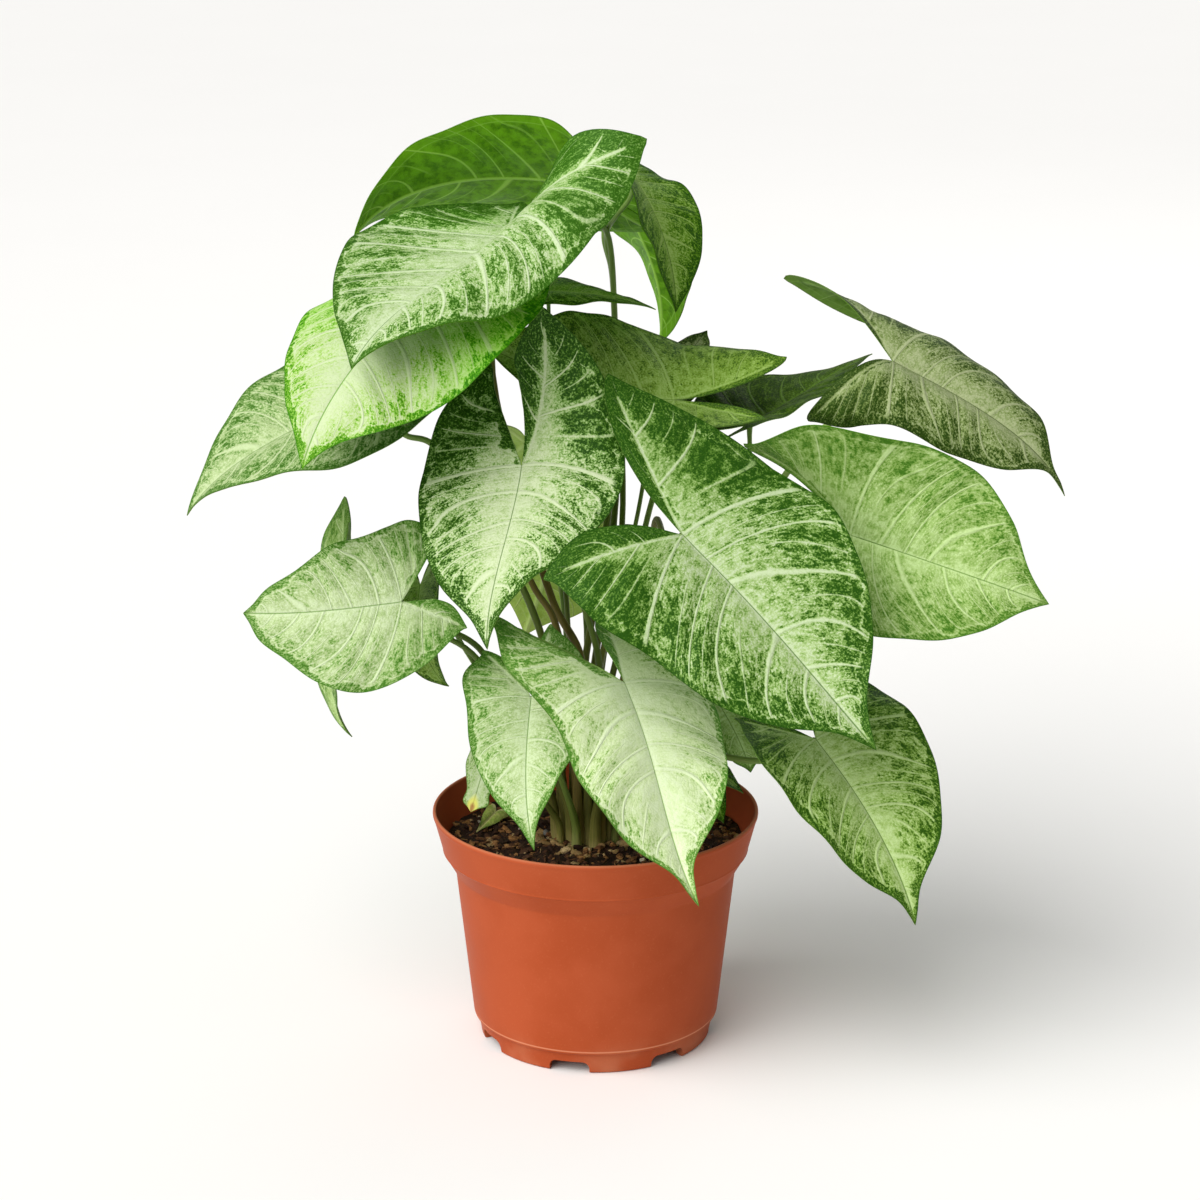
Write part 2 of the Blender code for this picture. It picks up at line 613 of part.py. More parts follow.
def blade_axes(leaf):
    """Directions ahead, to the right and up from the blade at its stalk."""
    heading, pitch, roll = (math.radians(leaf[key]) for key in ("heading", "pitch", "roll"))
    ahead = np.array(
        [math.cos(pitch) * math.cos(heading), math.cos(pitch) * math.sin(heading), math.sin(pitch)]
    )
    level = np.array([math.sin(heading), -math.cos(heading), 0.0])
    normal = np.cross(level, ahead)
    right = math.cos(roll) * level + math.sin(roll) * normal
    up = math.cos(roll) * normal - math.sin(roll) * level
    return ahead, right, up


def blade_surface(leaf):
    """The middle surface of a blade: points, and faces that look upwards."""
    flat = []
    faces = []
    known = {}

    def point(right, ahead):
        key = (round(right, 6), round(ahead, 6))
        if key not in known:
            known[key] = len(flat)
            flat.append((right, ahead))
        return known[key]

    for side, sign in ((0, 1), (1, -1)):
        lines = rows_of_half(leaf, side) * leaf["length"]
        index = [[point(sign * x, y) for x, y in line] for line in lines]
        for line, after in zip(index, index[1:]):
            for k in range(len(line) - 1):
                corners = [line[k], line[k + 1], after[k + 1], after[k]]
                if sign < 0:
                    corners.reverse()
                corners = tuple(dict.fromkeys(corners))
                if len(corners) > 2:
                    faces.append(corners)
    return bend(leaf, np.array(flat)), faces


def make_blade(name, leaf, material):
    """Gives the blade's surface its thickness, with the underside and the edge closed."""
    middle, faces = blade_surface(leaf)
    normals = np.zeros_like(middle)
    edges = {}
    for face in faces:
        corners = middle[list(face)]
        normal = np.cross(corners[1] - corners[0], corners[2] - corners[0])
        if len(face) > 3:
            normal += np.cross(corners[2] - corners[0], corners[3] - corners[0])
        for corner, after in zip(face, face[1:] + face[:1]):
            normals[corner] += normal
            edges[(corner, after)] = True
    normals /= np.maximum(np.linalg.norm(normals, axis=1, keepdims=True), 1e-12)
    count = len(middle)
    points = np.vstack([middle + normals * blade_thickness / 2, middle - normals * blade_thickness / 2])
    shell = list(faces)
    shell += [tuple(corner + count for corner in reversed(face)) for face in faces]
    for corner, after in edges:
        if (after, corner) not in edges:
            shell.append((after, corner, corner + count, after + count))
    item = add_mesh(name, points, shell, material)
    item.data.shade_smooth()
    item.data.set_sharp_from_angle(angle=math.radians(60))
    return item


# ---------------------------------------------------------------- stalks
def stalk_foot(leaf):
    """Where the stalk stands on the crown's top, which has rings of places round its middle."""
    ring, degrees = leaf["foot"]
    angle = math.radians(degrees)
    x = crown_centre[0] + foot_rings[ring] * math.cos(angle)
    y = crown_centre[1] + foot_rings[ring] * math.sin(angle)
    return np.array([x, y, crown_top + gap])


def stalk_radius(leaf, share):
    """The stalk's radius this far along it, from 0 at the foot to 1 at the blade."""
    foot = thinnest_foot + foot_share * leaf["length"]
    tip = thinnest_tip + tip_share * leaf["length"]
    return tip + (foot - tip) * (1 - share) ** 1.2


def stalk_line(leaf):
    """The stalk's middle line, from the crown to just under the blade's notch."""
    ahead, right, up = blade_axes(leaf)
    foot = stalk_foot(leaf)
    joint = np.array(leaf["at"])
    rise = joint - foot
    arrive = rise / np.linalg.norm(rise) + 0.7 * up
    arrive /= np.linalg.norm(arrive)
    slant = math.sqrt(max(0.0, 1 - float(arrive @ up) ** 2))
    end = joint - up * (blade_thickness / 2 + gap + stalk_radius(leaf, 1) * slant)
    height = np.linalg.norm(rise)
    marks = [foot, foot + np.array([0, 0, 0.12 * height]) + 0.03 * rise]
    marks += [np.array(mark) for mark in leaf["via"]]
    marks += [end - leaf["neck"] * height * arrive, end]
    return smooth_through(marks, 3)


def make_stalk(name, leaf, material):
    """A tapering stalk with flat ends, thicker where it sheathes the next one near its foot."""
    line = stalk_line(leaf)
    count = len(line)
    points = []
    faces = []
    across = np.array([1.0, 0.0, 0.0])
    for index, centre in enumerate(line):
        direction = line[min(index + 1, count - 1)] - line[max(index - 1, 0)]
        if index == 0:
            direction = np.array([0.0, 0.0, 1.0])
        direction /= np.linalg.norm(direction)
        across -= direction * (across @ direction)
        across /= np.linalg.norm(across)
        other = np.cross(direction, across)
        radius = stalk_radius(leaf, index / (count - 1))
        for side in range(stalk_sides):
            angle = math.tau * side / stalk_sides
            points.append(centre + radius * (math.cos(angle) * across + math.sin(angle) * other))
    for index in range(count - 1):
        for side in range(stalk_sides):
            after = (side + 1) % stalk_sides
            low = index * stalk_sides
            faces.append((low + side, low + after, low + after + stalk_sides, low + side + stalk_sides))
    faces.append(tuple(reversed(range(stalk_sides))))
    faces.append(tuple(range((count - 1) * stalk_sides, count * stalk_sides)))
    item = add_mesh(name, points, faces, material)
    item.data.shade_smooth()
    item.data.set_sharp_from_angle(angle=math.radians(50))
    return item


# ---------------------------------------------------------------- build
shrivelled = dict(
    at=(-0.0475, 0.024, 0.09955), length=0.019, heading=-112, pitch=-6, roll=10, width=(0.24, 0.28),
    lobe=(0.34, 0.4), arch=10, droop=10, fold=(40, 25), tip_fold=(50, 40), curl=(60, 70), twist=20,
    sweep=15,
)
clear_scene()
make_pot()
make_soil()
make_crown()
blades = {name: {**usual_blade, **leaf} for name, leaf in leaves.items()}
blade_green = painted("blade_green", (0.30, 0.47, 0.20), 0.45)
stalk_green = painted("stalk_green", (0.14, 0.20, 0.05), 0.5)
for name, leaf in blades.items():
    make_blade(f"blade_{name}", leaf, blade_green)
    make_stalk(f"stalk_{name}", leaf, stalk_green)
dried_green = painted("dried_leaf", (0.30, 0.33, 0.10), 0.8)
make_blade("shrivelled_leaf", {**usual_blade, **shrivelled}, dried_green)
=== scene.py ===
import math
import random

import bmesh
import bpy
import numpy as np
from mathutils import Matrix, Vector, noise


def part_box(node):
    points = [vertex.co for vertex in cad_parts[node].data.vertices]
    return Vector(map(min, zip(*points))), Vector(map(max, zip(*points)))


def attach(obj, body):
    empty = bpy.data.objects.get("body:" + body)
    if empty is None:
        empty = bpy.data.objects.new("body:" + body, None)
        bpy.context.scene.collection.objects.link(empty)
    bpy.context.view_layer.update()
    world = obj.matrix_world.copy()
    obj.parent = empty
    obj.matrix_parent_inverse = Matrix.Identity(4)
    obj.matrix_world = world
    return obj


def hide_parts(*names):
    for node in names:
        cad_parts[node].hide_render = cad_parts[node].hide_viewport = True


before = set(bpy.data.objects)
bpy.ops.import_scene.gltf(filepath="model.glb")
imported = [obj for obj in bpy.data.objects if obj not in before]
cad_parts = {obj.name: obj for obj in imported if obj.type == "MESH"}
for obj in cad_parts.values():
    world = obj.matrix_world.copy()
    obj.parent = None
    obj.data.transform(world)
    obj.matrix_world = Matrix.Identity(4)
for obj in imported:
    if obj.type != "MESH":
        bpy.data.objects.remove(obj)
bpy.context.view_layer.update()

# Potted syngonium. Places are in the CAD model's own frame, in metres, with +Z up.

scene = bpy.context.scene


# Camera, lights and floor
studio = {
    "cameraPlace": (0.0021, -1.5747, 0.6999),
    "cameraTilt": 72.8,  # degrees up from straight down
    "lens": 107.55,
    "sensor": 36.0,
    "clip": (0.05, 60.0),
    "skyColour": (1.0, 0.995, 0.985),
    "skyStrength": 0.34,
    "floorColour": (0.93, 0.93, 0.925),
    "floorGrain": 0.985,  # the darker of the floor's two tones, as a share of its colour
    "floorReach": 9.0,
    "floorSteps": 24,
    "floorDrop": 0.0002,  # keeps it just below the pot's foot
    "sunTurn": (48.0, -46.0),  # degrees from straight down, and round to the left of the camera
    "sunStrength": 3.3,
    "sunSpread": 64.0,  # degrees, for soft shadows
    "sunColour": (1.0, 0.985, 0.96),
    # name, place, size, watts, colour
    "lights": (
        ("keyLight", (-1.15, -1.25, 1.55), 0.9, 4.0, (1.0, 0.985, 0.96)),
        ("backLight", (0.7, 1.5, 1.3), 1.2, 3.0, (1.0, 1.0, 1.0)),
    ),
    "lightTarget": (0.0, 0.0, 0.2),
}


def linkObject(name, data):
    item = bpy.data.objects.new(name, data)
    scene.collection.objects.link(item)
    return item


def makeCamera():
    lens = bpy.data.cameras.new("studioCamera")
    lens.lens = studio["lens"]
    lens.sensor_width = studio["sensor"]
    lens.clip_start, lens.clip_end = studio["clip"]
    camera = linkObject("studioCamera", lens)
    camera.location = studio["cameraPlace"]
    camera.rotation_euler.x = math.radians(studio["cameraTilt"])
    scene.camera = camera


def makeLights():
    for name, place, size, watts, colour in studio["lights"]:
        lamp = bpy.data.lights.new(name, "AREA")
        lamp.shape = "DISK"
        lamp.size = size
        lamp.energy = watts
        lamp.color = colour
        item = linkObject(name, lamp)
        item.location = place
        aim = Vector(studio["lightTarget"]) - Vector(place)
        item.rotation_euler = aim.to_track_quat("-Z", "Y").to_euler()
    sun = bpy.data.lights.new("softSun", "SUN")
    sun.energy = studio["sunStrength"]
    sun.angle = math.radians(studio["sunSpread"])
    sun.color = studio["sunColour"]
    tilt, turn = studio["sunTurn"]
    linkObject("softSun", sun).rotation_euler = (math.radians(tilt), 0.0, math.radians(turn))
    scene.world = bpy.data.worlds.new("paleStudio")
    scene.world.use_nodes = True
    sky = scene.world.node_tree.nodes["Background"].inputs
    sky["Color"].default_value = (*studio["skyColour"], 1.0)
    sky["Strength"].default_value = studio["skyStrength"]
    scene.view_settings.view_transform = "Standard"


# A short way to wire one material's nodes
class Finish:
    def __init__(self, name, roughness, specular):
        self.material = bpy.data.materials.new(name)
        self.material.use_nodes = True
        self.tree = self.material.node_tree
        self.shader = self.tree.nodes["Principled BSDF"].inputs
        self.shader["Roughness"].default_value = roughness
        self.shader["Specular IOR Level"].default_value = specular

    def node(self, kind, values=(), **settings):  # values are by socket number or name
        item = self.tree.nodes.new("ShaderNode" + kind)
        for key, value in settings.items():
            setattr(item, key, value)
        for key, value in dict(values).items():
            self.put(item.inputs[key], value)
        return item

    def put(self, socket, value):
        if isinstance(value, bpy.types.NodeSocket):
            self.tree.links.new(value, socket)
        elif socket.type == "RGBA":
            socket.default_value = (*value, 1.0)
        else:
            socket.default_value = value

    def maths(self, operation, *values, clamp=False):
        return self.node("Math", enumerate(values), operation=operation, use_clamp=clamp).outputs[0]

    def times(self, product, *others):
        for value in others:
            product = self.maths("MULTIPLY", product, value)
        return product

    def timesPlus(self, first, second, added):
        return self.maths("MULTIPLY_ADD", first, second, added)

    def minus(self, first, second, clamp=False):
        return self.maths("SUBTRACT", first, second, clamp=clamp)

    def over(self, first, second):
        return self.maths("DIVIDE", first, second)

    def most(self, greatest, *others):
        for value in others:
            greatest = self.maths("MAXIMUM", greatest, value)
        return greatest

    def step(self, value, low, high, start=0.0, end=1.0):  # smooth, from start at low to end at high
        values = enumerate((value, low, high, start, end))
        return self.node("MapRange", values, interpolation_type="SMOOTHSTEP").outputs[0]

    def mix(self, share, first, second, blend="MIX"):
        values = {0: share, 6: first, 7: second}
        return self.node("Mix", values, data_type="RGBA", blend_type=blend).outputs[2]

    def place(self, mapName, stretch=None):  # a UV map's vector, or the object's own
        if mapName == "solid":
            source = self.node("TexCoord").outputs["Object"]
        else:
            source = self.node("UVMap", uv_map=mapName).outputs[0]
        if stretch:
            source = self.node("Mapping", {"Vector": source, "Scale": stretch}).outputs[0]
        return source

    def parts(self, vector):
        return self.node("SeparateXYZ", {0: vector}).outputs

    def speckle(self, vector, scale, detail=2.0, rough=0.5):
        values = {"Vector": vector, "Scale": scale, "Detail": detail, "Roughness": rough}
        return self.node("TexNoise", values).outputs[0]

    def net(self, vector, scale, width):  # 0 on the lines between cells, 1 inside them
        values = {"Vector": vector, "Scale": scale}
        cells = self.node("TexVoronoi", values, feature="DISTANCE_TO_EDGE")
        return self.step(cells.outputs[0], 0.0, width)

    def ramp(self, share, stops, interpolation="LINEAR"):
        item = self.node("ValToRGB", {0: share})
        item.color_ramp.interpolation = interpolation
        points = item.color_ramp.elements
        while len(points) < len(stops):
            points.new(0.5)
        for point, (place, colour) in zip(points, stops):
            point.position = place
            point.color = (*colour, 1.0)
        return item.outputs[0]

    def done(self, colour, roughness, relief, depth, strength=1.0):  # depth of the relief in metres
        bump = self.node("Bump", {"Strength": strength, "Distance": depth, "Height": relief})
        self.put(self.shader["Base Color"], colour)
        self.put(self.shader["Roughness"], roughness)
        self.put(self.shader["Normal"], bump.outputs[0])
        return self.material


def toned(colour, share):  # darker or brighter by this factor
    return tuple(share * channel for channel in colour)


def newMesh(name, points, faces, materials, faceSlots=None, maps=None, sharp=None):
    mesh = bpy.data.meshes.new(name)
    mesh.from_pydata(np.asarray(points, float).tolist(), [], faces)
    for material in materials:
        mesh.materials.append(material)
    if faceSlots:
        mesh.polygons.foreach_set("material_index", faceSlots)
    for mapName, corners in (maps or {}).items():
        layer = mesh.uv_layers.new(name=mapName, do_init=False)
        layer.uv.foreach_set("vector", np.asarray(corners, np.float32).ravel())
    mesh.shade_smooth()
    if sharp:
        mesh.set_sharp_from_angle(angle=math.radians(sharp))
    return linkObject(name, mesh)


def fit(piece, slotName, *standsFor):  # every piece rides on the one body
    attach(piece, "root")
    if standsFor:
        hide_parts(*standsFor)


def makeFloor():
    paper = Finish("paleFloor", roughness=0.9, specular=0.2)
    grain = paper.speckle(paper.place("solid"), 6.0, 3.0)
    colour = studio["floorColour"]
    paper.put(paper.shader["Base Color"], paper.mix(grain, colour, toned(colour, studio["floorGrain"])))
    steps = studio["floorSteps"]
    line = np.linspace(-studio["floorReach"], studio["floorReach"], steps + 1)
    points = [(x, y, 0.0) for y in line for x in line]
    corners = (0, 1, steps + 2, steps + 1)
    lows = [row * (steps + 1) + column for row in range(steps) for column in range(steps)]
    faces = [tuple(low + corner for corner in corners) for low in lows]
    floor = newMesh("studioFloor", points, faces, [paper.material])
    floor.location.z = -studio["floorDrop"]


makeCamera()
makeLights()
makeFloor()
print("camera, lights and floor ready")


# Leaves. Every pair is (right half, left half), seen from above with the tip ahead. Widths, lobes
# and places along a blade are shares of its length, angles are degrees.
usualLeaf = dict(
    width=(0.42, 0.42),  # greatest half width
    widest=(0.12, 0.12),  # how far along the blade that is
    lobe=(0.5, 0.5),  # length of the lobe behind the stalk
    spread=(42, 42),  # angle of the lobe from straight back
    sinus=(14, 14),  # how far the lobe's inner edge bulges towards the notch
    bulge=(0.13, 0.13),  # how far its outer edge bulges
    tipWidth=1.0,  # fullness of the drawn-out tip
    arch=20,  # bend of the midrib, evenly along its length
    droop=20,  # further bend near the tip
    lobeArch=(15, 15),  # bend of each lobe
    fold=(12, 12),  # rise of each half from the midrib at the stalk
    tipFold=(12, 12),  # and at the tip
    lobeFold=(0, 0),  # further rise along the lobe
    curl=(20, 20),  # how far each half bends down again towards its edge
    twist=0,
    sweep=0,  # sideways bend of the midrib
    neck=0.1,  # share of the stalk that runs straight to the blade
    looks=("plain", "dull"),  # finish of the upper side and the underside
    stalk="olive",  # finish of the stalk
)

# at is the joint of stalk and blade. turn is the way the tip points, from +X towards +Y, then its
# rise, then the rise of the right half. foot is the stalk's ring and angle on the crown, and via the
# points that it passes.
leaves = {
    "top_back": dict(
        at=(-0.009, 0.076, 0.392), length=0.115, turn=(173, 8, -43), width=(0.4, 0.49),
        widest=(0.1, 0.16), lobe=(0.45, 0.36), spread=(42, 50), bulge=(0.12, 0.1), tipWidth=1.1,
        arch=35, droop=40, lobeArch=(0, 0), fold=(-5, -15), tipFold=(15, 10), lobeFold=(0, -5),
        curl=(-20, -15),
        looks=("plain", "bright"), foot=(2, 128),
        via=((0.007, 0.062, 0.247), (0.009, 0.103, 0.322), (0.004, 0.091, 0.368)),
    ),
    "top_front": dict(
        at=(-0.04, 0.018, 0.378), length=0.116, turn=(-129, -17, -25), width=(0.57, 0.52),
        widest=(0.16, 0.2), lobe=(0.46, 0.72), spread=(36, 52), sinus=(14, 30), bulge=(0.12, 0.02),
        tipWidth=0.9, arch=-10, droop=35, lobeArch=(25, -80), fold=(20, 40), tipFold=(15, -5),
        lobeFold=(-20, 15), curl=(-20, 105), twist=10,
        looks=("fresh", "bright"), stalk="brown", foot=(2, 248),
        via=((-0.007, 0.002, 0.184), (-0.02, 0.014, 0.208), (-0.048, 0.038, 0.319), (-0.039, 0.03, 0.342)),
    ),
    "upper_left": dict(
        at=(-0.0725, 0.0, 0.359), length=0.108, turn=(-134, -23, 9), width=(0.45, 0.5),
        widest=(0.24, 0.22), lobe=(0.5, 0.54), spread=(42, 40), tipWidth=0.8, arch=25, droop=25,
        fold=(10, 15), tipFold=(10, -15), lobeFold=(0, -5), curl=(40, 30), twist=10, sweep=-5,
        looks=("yellow", "bright"), stalk="brown", foot=(1, 210),
        via=((-0.019, 0.002, 0.202), (-0.029, 0.009, 0.217), (-0.063, 0.023, 0.307)),
    ),
    "far_left": dict(
        at=(-0.096, 0.019, 0.308), length=0.11, turn=(-166, -20, 13), width=(0.43, 0.46),
        widest=(0.14, 0.2), lobe=(0.5, 0.42), spread=(42, 38), bulge=(0.14, 0.08), tipWidth=0.8, arch=5,
        droop=35, fold=(20, 20), tipFold=(15, 20), curl=(10, 40),
        looks=("sage", "dull"), foot=(2, 188), via=((-0.027, 0.016, 0.196), (-0.075, 0.024, 0.28)),
    ),
    "centre": dict(
        at=(-0.033, -0.018, 0.281), length=0.096, turn=(-101, -46, -30), width=(0.5, 0.51),
        lobe=(0.64, 0.76), spread=(26, 20), sinus=(0, 24), bulge=(0.12, 0.06), tipWidth=0.7, arch=-25,
        droop=35, lobeArch=(5, -85), fold=(20, -5), tipFold=(20, 15), lobeFold=(15, 5), curl=(5, 45),
        sweep=-5,
        looks=("crisp", "dull"), foot=(2, 278), via=((0.002, -0.012, 0.182), (-0.005, -0.012, 0.212)),
    ),
    "largest": dict(
        at=(0.0385, -0.055, 0.2595), length=0.128, turn=(-32, -35, -25), width=(0.41, 0.49),
        widest=(0.26, 0.16), lobe=(0.54, 0.66), spread=(70, 20), sinus=(22, 12), bulge=(0.06, 0.06),
        tipWidth=0.7, droop=-10, lobeArch=(0, -15), fold=(15, 10), tipFold=(0, 25), lobeFold=(-5, 0),
        curl=(30, 20), twist=-15,
        looks=("deep", "dull"), stalk="brown", foot=(2, -52),
        via=((0.025, 0.017, 0.228), (0.028, 0.003, 0.25)),
    ),
    "middle_right": dict(
        at=(0.116, -0.005, 0.245), length=0.098, turn=(-30, -9, -60), width=(0.45, 0.58),
        widest=(0.28, 0.2), lobe=(0.5, 0.62), spread=(42, 44), sinus=(14, 4), tipWidth=0.8, arch=25,
        lobeArch=(15, 35), fold=(25, 30), tipFold=(5, -5), lobeFold=(0, 40), curl=(5, -35), twist=5,
        sweep=-5,
        looks=("lime", "bright"), stalk="brown", foot=(1, -30),
        via=((0.034, 0.013, 0.166), (0.08, 0.008, 0.2)),
    ),
    "far_right": dict(
        at=(0.135, 0.012, 0.322), length=0.104, turn=(-13, -24, -24), width=(0.34, 0.34),
        lobe=(0.58, 0.74), spread=(66, 40), sinus=(8, 6), bulge=(0.1, 0.14), tipWidth=0.3, arch=10,
        droop=40, lobeArch=(25, -25), fold=(40, 25), tipFold=(-5, 15), lobeFold=(-15, -20),
        curl=(95, 65), twist=-10,
        looks=("shadedGrey", "dull"), stalk="light", foot=(1, 30),
        via=((0.049, 0.015, 0.205), (0.106, 0.023, 0.289)),
    ),
    "back_right": dict(
        at=(0.072, 0.053, 0.282), length=0.073, turn=(29, 20, 6), width=(0.44, 0.47), lobe=(0.38, 0.4),
        arch=-10, droop=15, fold=(25, 25), tipFold=(0, -10), lobeFold=(5, 0), curl=(20, -5), twist=5,
        looks=("dusky", "dull"), foot=(2, 38), via=((0.026, 0.021, 0.172), (0.051, 0.039, 0.233)),
    ),
    "back_centre": dict(
        at=(0.036, 0.028, 0.3), length=0.092, turn=(174, 3, 24), width=(0.54, 0.42), widest=(0.3, 0.1),
        lobe=(0.62, 0.5), spread=(24, 18), sinus=(8, 16), bulge=(0.12, 0.16), arch=-30, droop=5,
        lobeArch=(-25, -10), tipFold=(35, 10), lobeFold=(25, -15), curl=(40, -25), twist=15, sweep=5,
        looks=("olive", "dull"), foot=(0, 0), via=((0.009, 0.009, 0.178), (0.024, 0.02, 0.246)),
    ),
    "folded_right": dict(
        at=(0.019, 0.077, 0.393), length=0.066, turn=(-44, -45, 9), width=(0.36, 0.44), lobe=(0.3, 0.3),
        spread=(42, 44), bulge=(0.14, 0.06), arch=35, droop=10, lobeArch=(15, 20), fold=(25, -10),
        tipFold=(5, 25), lobeFold=(0, -20), curl=(-5, -20), twist=-10, sweep=-5, neck=0.03,
        looks=("plain", "bright"), foot=(1, 90),
        via=(
            (0.0125, 0.057, 0.231), (0.0093, 0.1075, 0.3129), (0.0088, 0.1115, 0.3287),
            (0.0074, 0.11, 0.3446), (0.005, 0.104, 0.3604), (0.0096, 0.082, 0.3753),
        ),
    ),
    "hanging_back": dict(
        at=(0.0125, 0.128, 0.373), length=0.085, turn=(42, -53, -9), lobe=(0.32, 0.32), tipWidth=1.1,
        droop=25, fold=(15, 5), tipFold=(15, 30), curl=(15, 25), twist=-10, sweep=-5, neck=0.03,
        looks=("plain", "bright"), foot=(2, 98),
        via=(
            (0.0095, 0.068, 0.241), (0.0093, 0.113, 0.3116), (0.0088, 0.117, 0.3274),
            (0.0074, 0.1175, 0.343), (0.004, 0.116, 0.358), (0.005, 0.118, 0.3668),
        ),
    ),
    "edge_on": dict(
        at=(-0.022, 0.056, 0.345), length=0.051, turn=(-4, 0, 0), arch=15, droop=5, fold=(10, 15),
        tipFold=(5, 0), curl=(25, 20), twist=5,
        looks=("plain", "bright"), foot=(1, 150), via=((-0.013, 0.02, 0.196), (-0.018, 0.04, 0.279)),
    ),
    "lower_left": dict(
        at=(-0.088, -0.021, 0.218), length=0.073, turn=(-172, -5, 60), width=(0.48, 0.54),
        widest=(0.12, 0.3), lobe=(0.58, 0.44), spread=(56, 30), sinus=(4, 28), bulge=(0.14, 0.08),
        tipWidth=1.3, arch=10, droop=10, lobeArch=(15, 10), fold=(5, 10), tipFold=(20, 10),
        lobeFold=(5, 0), curl=(25, 20), twist=5, sweep=15,
        looks=("soft", "dull"), foot=(2, 218), via=((-0.057, -0.004, 0.188),),
    ),
    "hanging_left": dict(
        at=(-0.117, 0.015, 0.212), length=0.071, turn=(-131, -66, -28), width=(0.4, 0.41),
        lobe=(0.68, 0.58), spread=(30, 40), arch=25, droop=30, lobeArch=(20, -5), fold=(15, 25),
        tipFold=(10, 15), lobeFold=(25, 25), curl=(20, 10),
        looks=("lime", "dull"), foot=(3, 178), via=((-0.054, 0.001, 0.189), (-0.075, 0.0, 0.2)),
    ),
    "small_left": dict(
        at=(-0.082, 0.032, 0.21), length=0.055, turn=(-99, -38, -40), width=(0.43, 0.38), tipWidth=1.1,
        arch=45, droop=40, fold=(15, 15), tipFold=(15, 20), curl=(15, 10), twist=-5,
        looks=("olive", "bright"), stalk="light", foot=(2, 158),
        via=((-0.036, 0.013, 0.144), (-0.061, 0.023, 0.181)),
    ),
    "low_front": dict(
        at=(0.013, -0.059, 0.192), length=0.107, turn=(-62, -38, 14), widest=(0.16, 0.04),
        lobe=(0.64, 0.48), spread=(56, 18), sinus=(0, 16), tipWidth=0.5, arch=45, droop=-35,
        lobeArch=(5, 70), fold=(5, 5), tipFold=(5, 30), lobeFold=(5, 10), curl=(15, 15), twist=-15,
        sweep=-15,
        looks=("milky", "dull"), foot=(3, -75), via=((0.004, -0.029, 0.136), (0.009, -0.045, 0.167)),
    ),
    "low_front_left": dict(
        at=(-0.029, -0.035, 0.177), length=0.074, turn=(-97, -39, -18), width=(0.4, 0.43),
        widest=(0.06, 0.08), lobe=(0.5, 0.52), spread=(46, 10), bulge=(0.16, 0.1), tipWidth=0.7,
        arch=15, droop=25, lobeArch=(25, 0), fold=(20, 15), tipFold=(15, 20), lobeFold=(-10, 10),
        curl=(5, 30), twist=-5, sweep=-5,
        looks=("soft", "dull"), stalk="light", foot=(3, -110), via=((-0.02, -0.025, 0.146),),
    ),
    "lower_right": dict(
        at=(0.1, -0.038, 0.158), length=0.099, turn=(-52, -29, -10), width=(0.37, 0.48),
        widest=(0.24, 0.12), lobe=(0.4, 0.46), spread=(58, 40), tipWidth=0.6, arch=30,
        lobeArch=(20, 15), fold=(15, 10), tipFold=(5, 15), lobeFold=(-15, 0), curl=(-5, 15), twist=-5,
        looks=("mossy", "dull"), foot=(2, -22), via=((0.032, -0.025, 0.147), (0.075, -0.031, 0.145)),
    ),
    "young_back": dict(
        at=(0.026, 0.068, 0.291), length=0.049, turn=(50, 29, -16), width=(0.44, 0.31),
        widest=(0.16, 0.1), lobe=(0.4, 0.4), tipWidth=1.3, arch=-5, droop=0, lobeArch=(10, 10),
        fold=(20, 20), tipFold=(25, 25), curl=(10, 10),
        looks=("shadedGrey", "dull"), foot=(2, 68), via=((0.004, 0.037, 0.173), (0.02, 0.051, 0.24)),
    ),
    "low_right": dict(
        at=(0.053, 0.007, 0.167), length=0.045, turn=(-53, -36, -8), width=(0.46, 0.53),
        widest=(0.1, 0.18), lobe=(0.42, 0.42), tipWidth=1.5, arch=15,
        looks=("lime", "dull"), stalk="light", foot=(2, 8), via=((0.032, 0.004, 0.141),),
    ),
    "rim_right": dict(
        at=(0.045, -0.002, 0.138), length=0.03, turn=(-15, -30, -8), width=(0.43, 0.38),
        lobe=(0.42, 0.42), arch=10, droop=0,
        stalk="light", foot=(3, 0), via=((0.029, -0.002, 0.124),),
    ),
    "inner_right": dict(
        at=(0.043, -0.02, 0.14), length=0.033, turn=(-51, -35, -15), width=(0.43, 0.4),
        lobe=(0.42, 0.42), tipWidth=1.1, arch=15, droop=10,
        stalk="light", foot=(3, -25), via=((0.026, -0.013, 0.125),),
    ),
    "old_left": dict(
        at=(-0.045, -0.012, 0.158), length=0.044, turn=(-125, -61, -5), width=(0.28, 0.31),
        widest=(0.4, 0.4), lobe=(0.42, 0.42), tipWidth=2.4, arch=0, droop=0, fold=(5, 5),
        tipFold=(0, 0),
        looks=("aged", "dull"), foot=(3, -150), via=((-0.024, -0.01, 0.118),),
    ),
    "behind_stalks": dict(
        at=(-0.0175, 0.078, 0.219), length=0.071, turn=(115, -55, -30), width=(0.57, 0.44),
        widest=(0.18, 0.18), lobe=(0.42, 0.42), tipWidth=0.9, arch=5, droop=0,
        # Its looks are paler than its own colour: painted light, where it stands in shade between the
        # stalks
        looks=("milky", "pale"), foot=(3, 112), via=((-0.012, 0.035, 0.147), (-0.015, 0.059, 0.187)),
    ),
    "hidden_left": dict(
        at=(-0.033, 0.084, 0.265), length=0.088, turn=(114, -28, -8), width=(0.43, 0.46),
        lobe=(0.38, 0.4),
        looks=("yellow", "pale"), foot=(3, 145), via=((-0.004, 0.036, 0.18), (-0.015, 0.069, 0.23)),
    ),
    "hidden_right": dict(
        at=(0.052, 0.082, 0.212), length=0.084, turn=(58, -34, 6), width=(0.45, 0.42), lobe=(0.46, 0.5),
        looks=("fresh", "dull"), foot=(3, 50), via=((0.021, 0.034, 0.145), (0.038, 0.061, 0.183)),
    ),
}


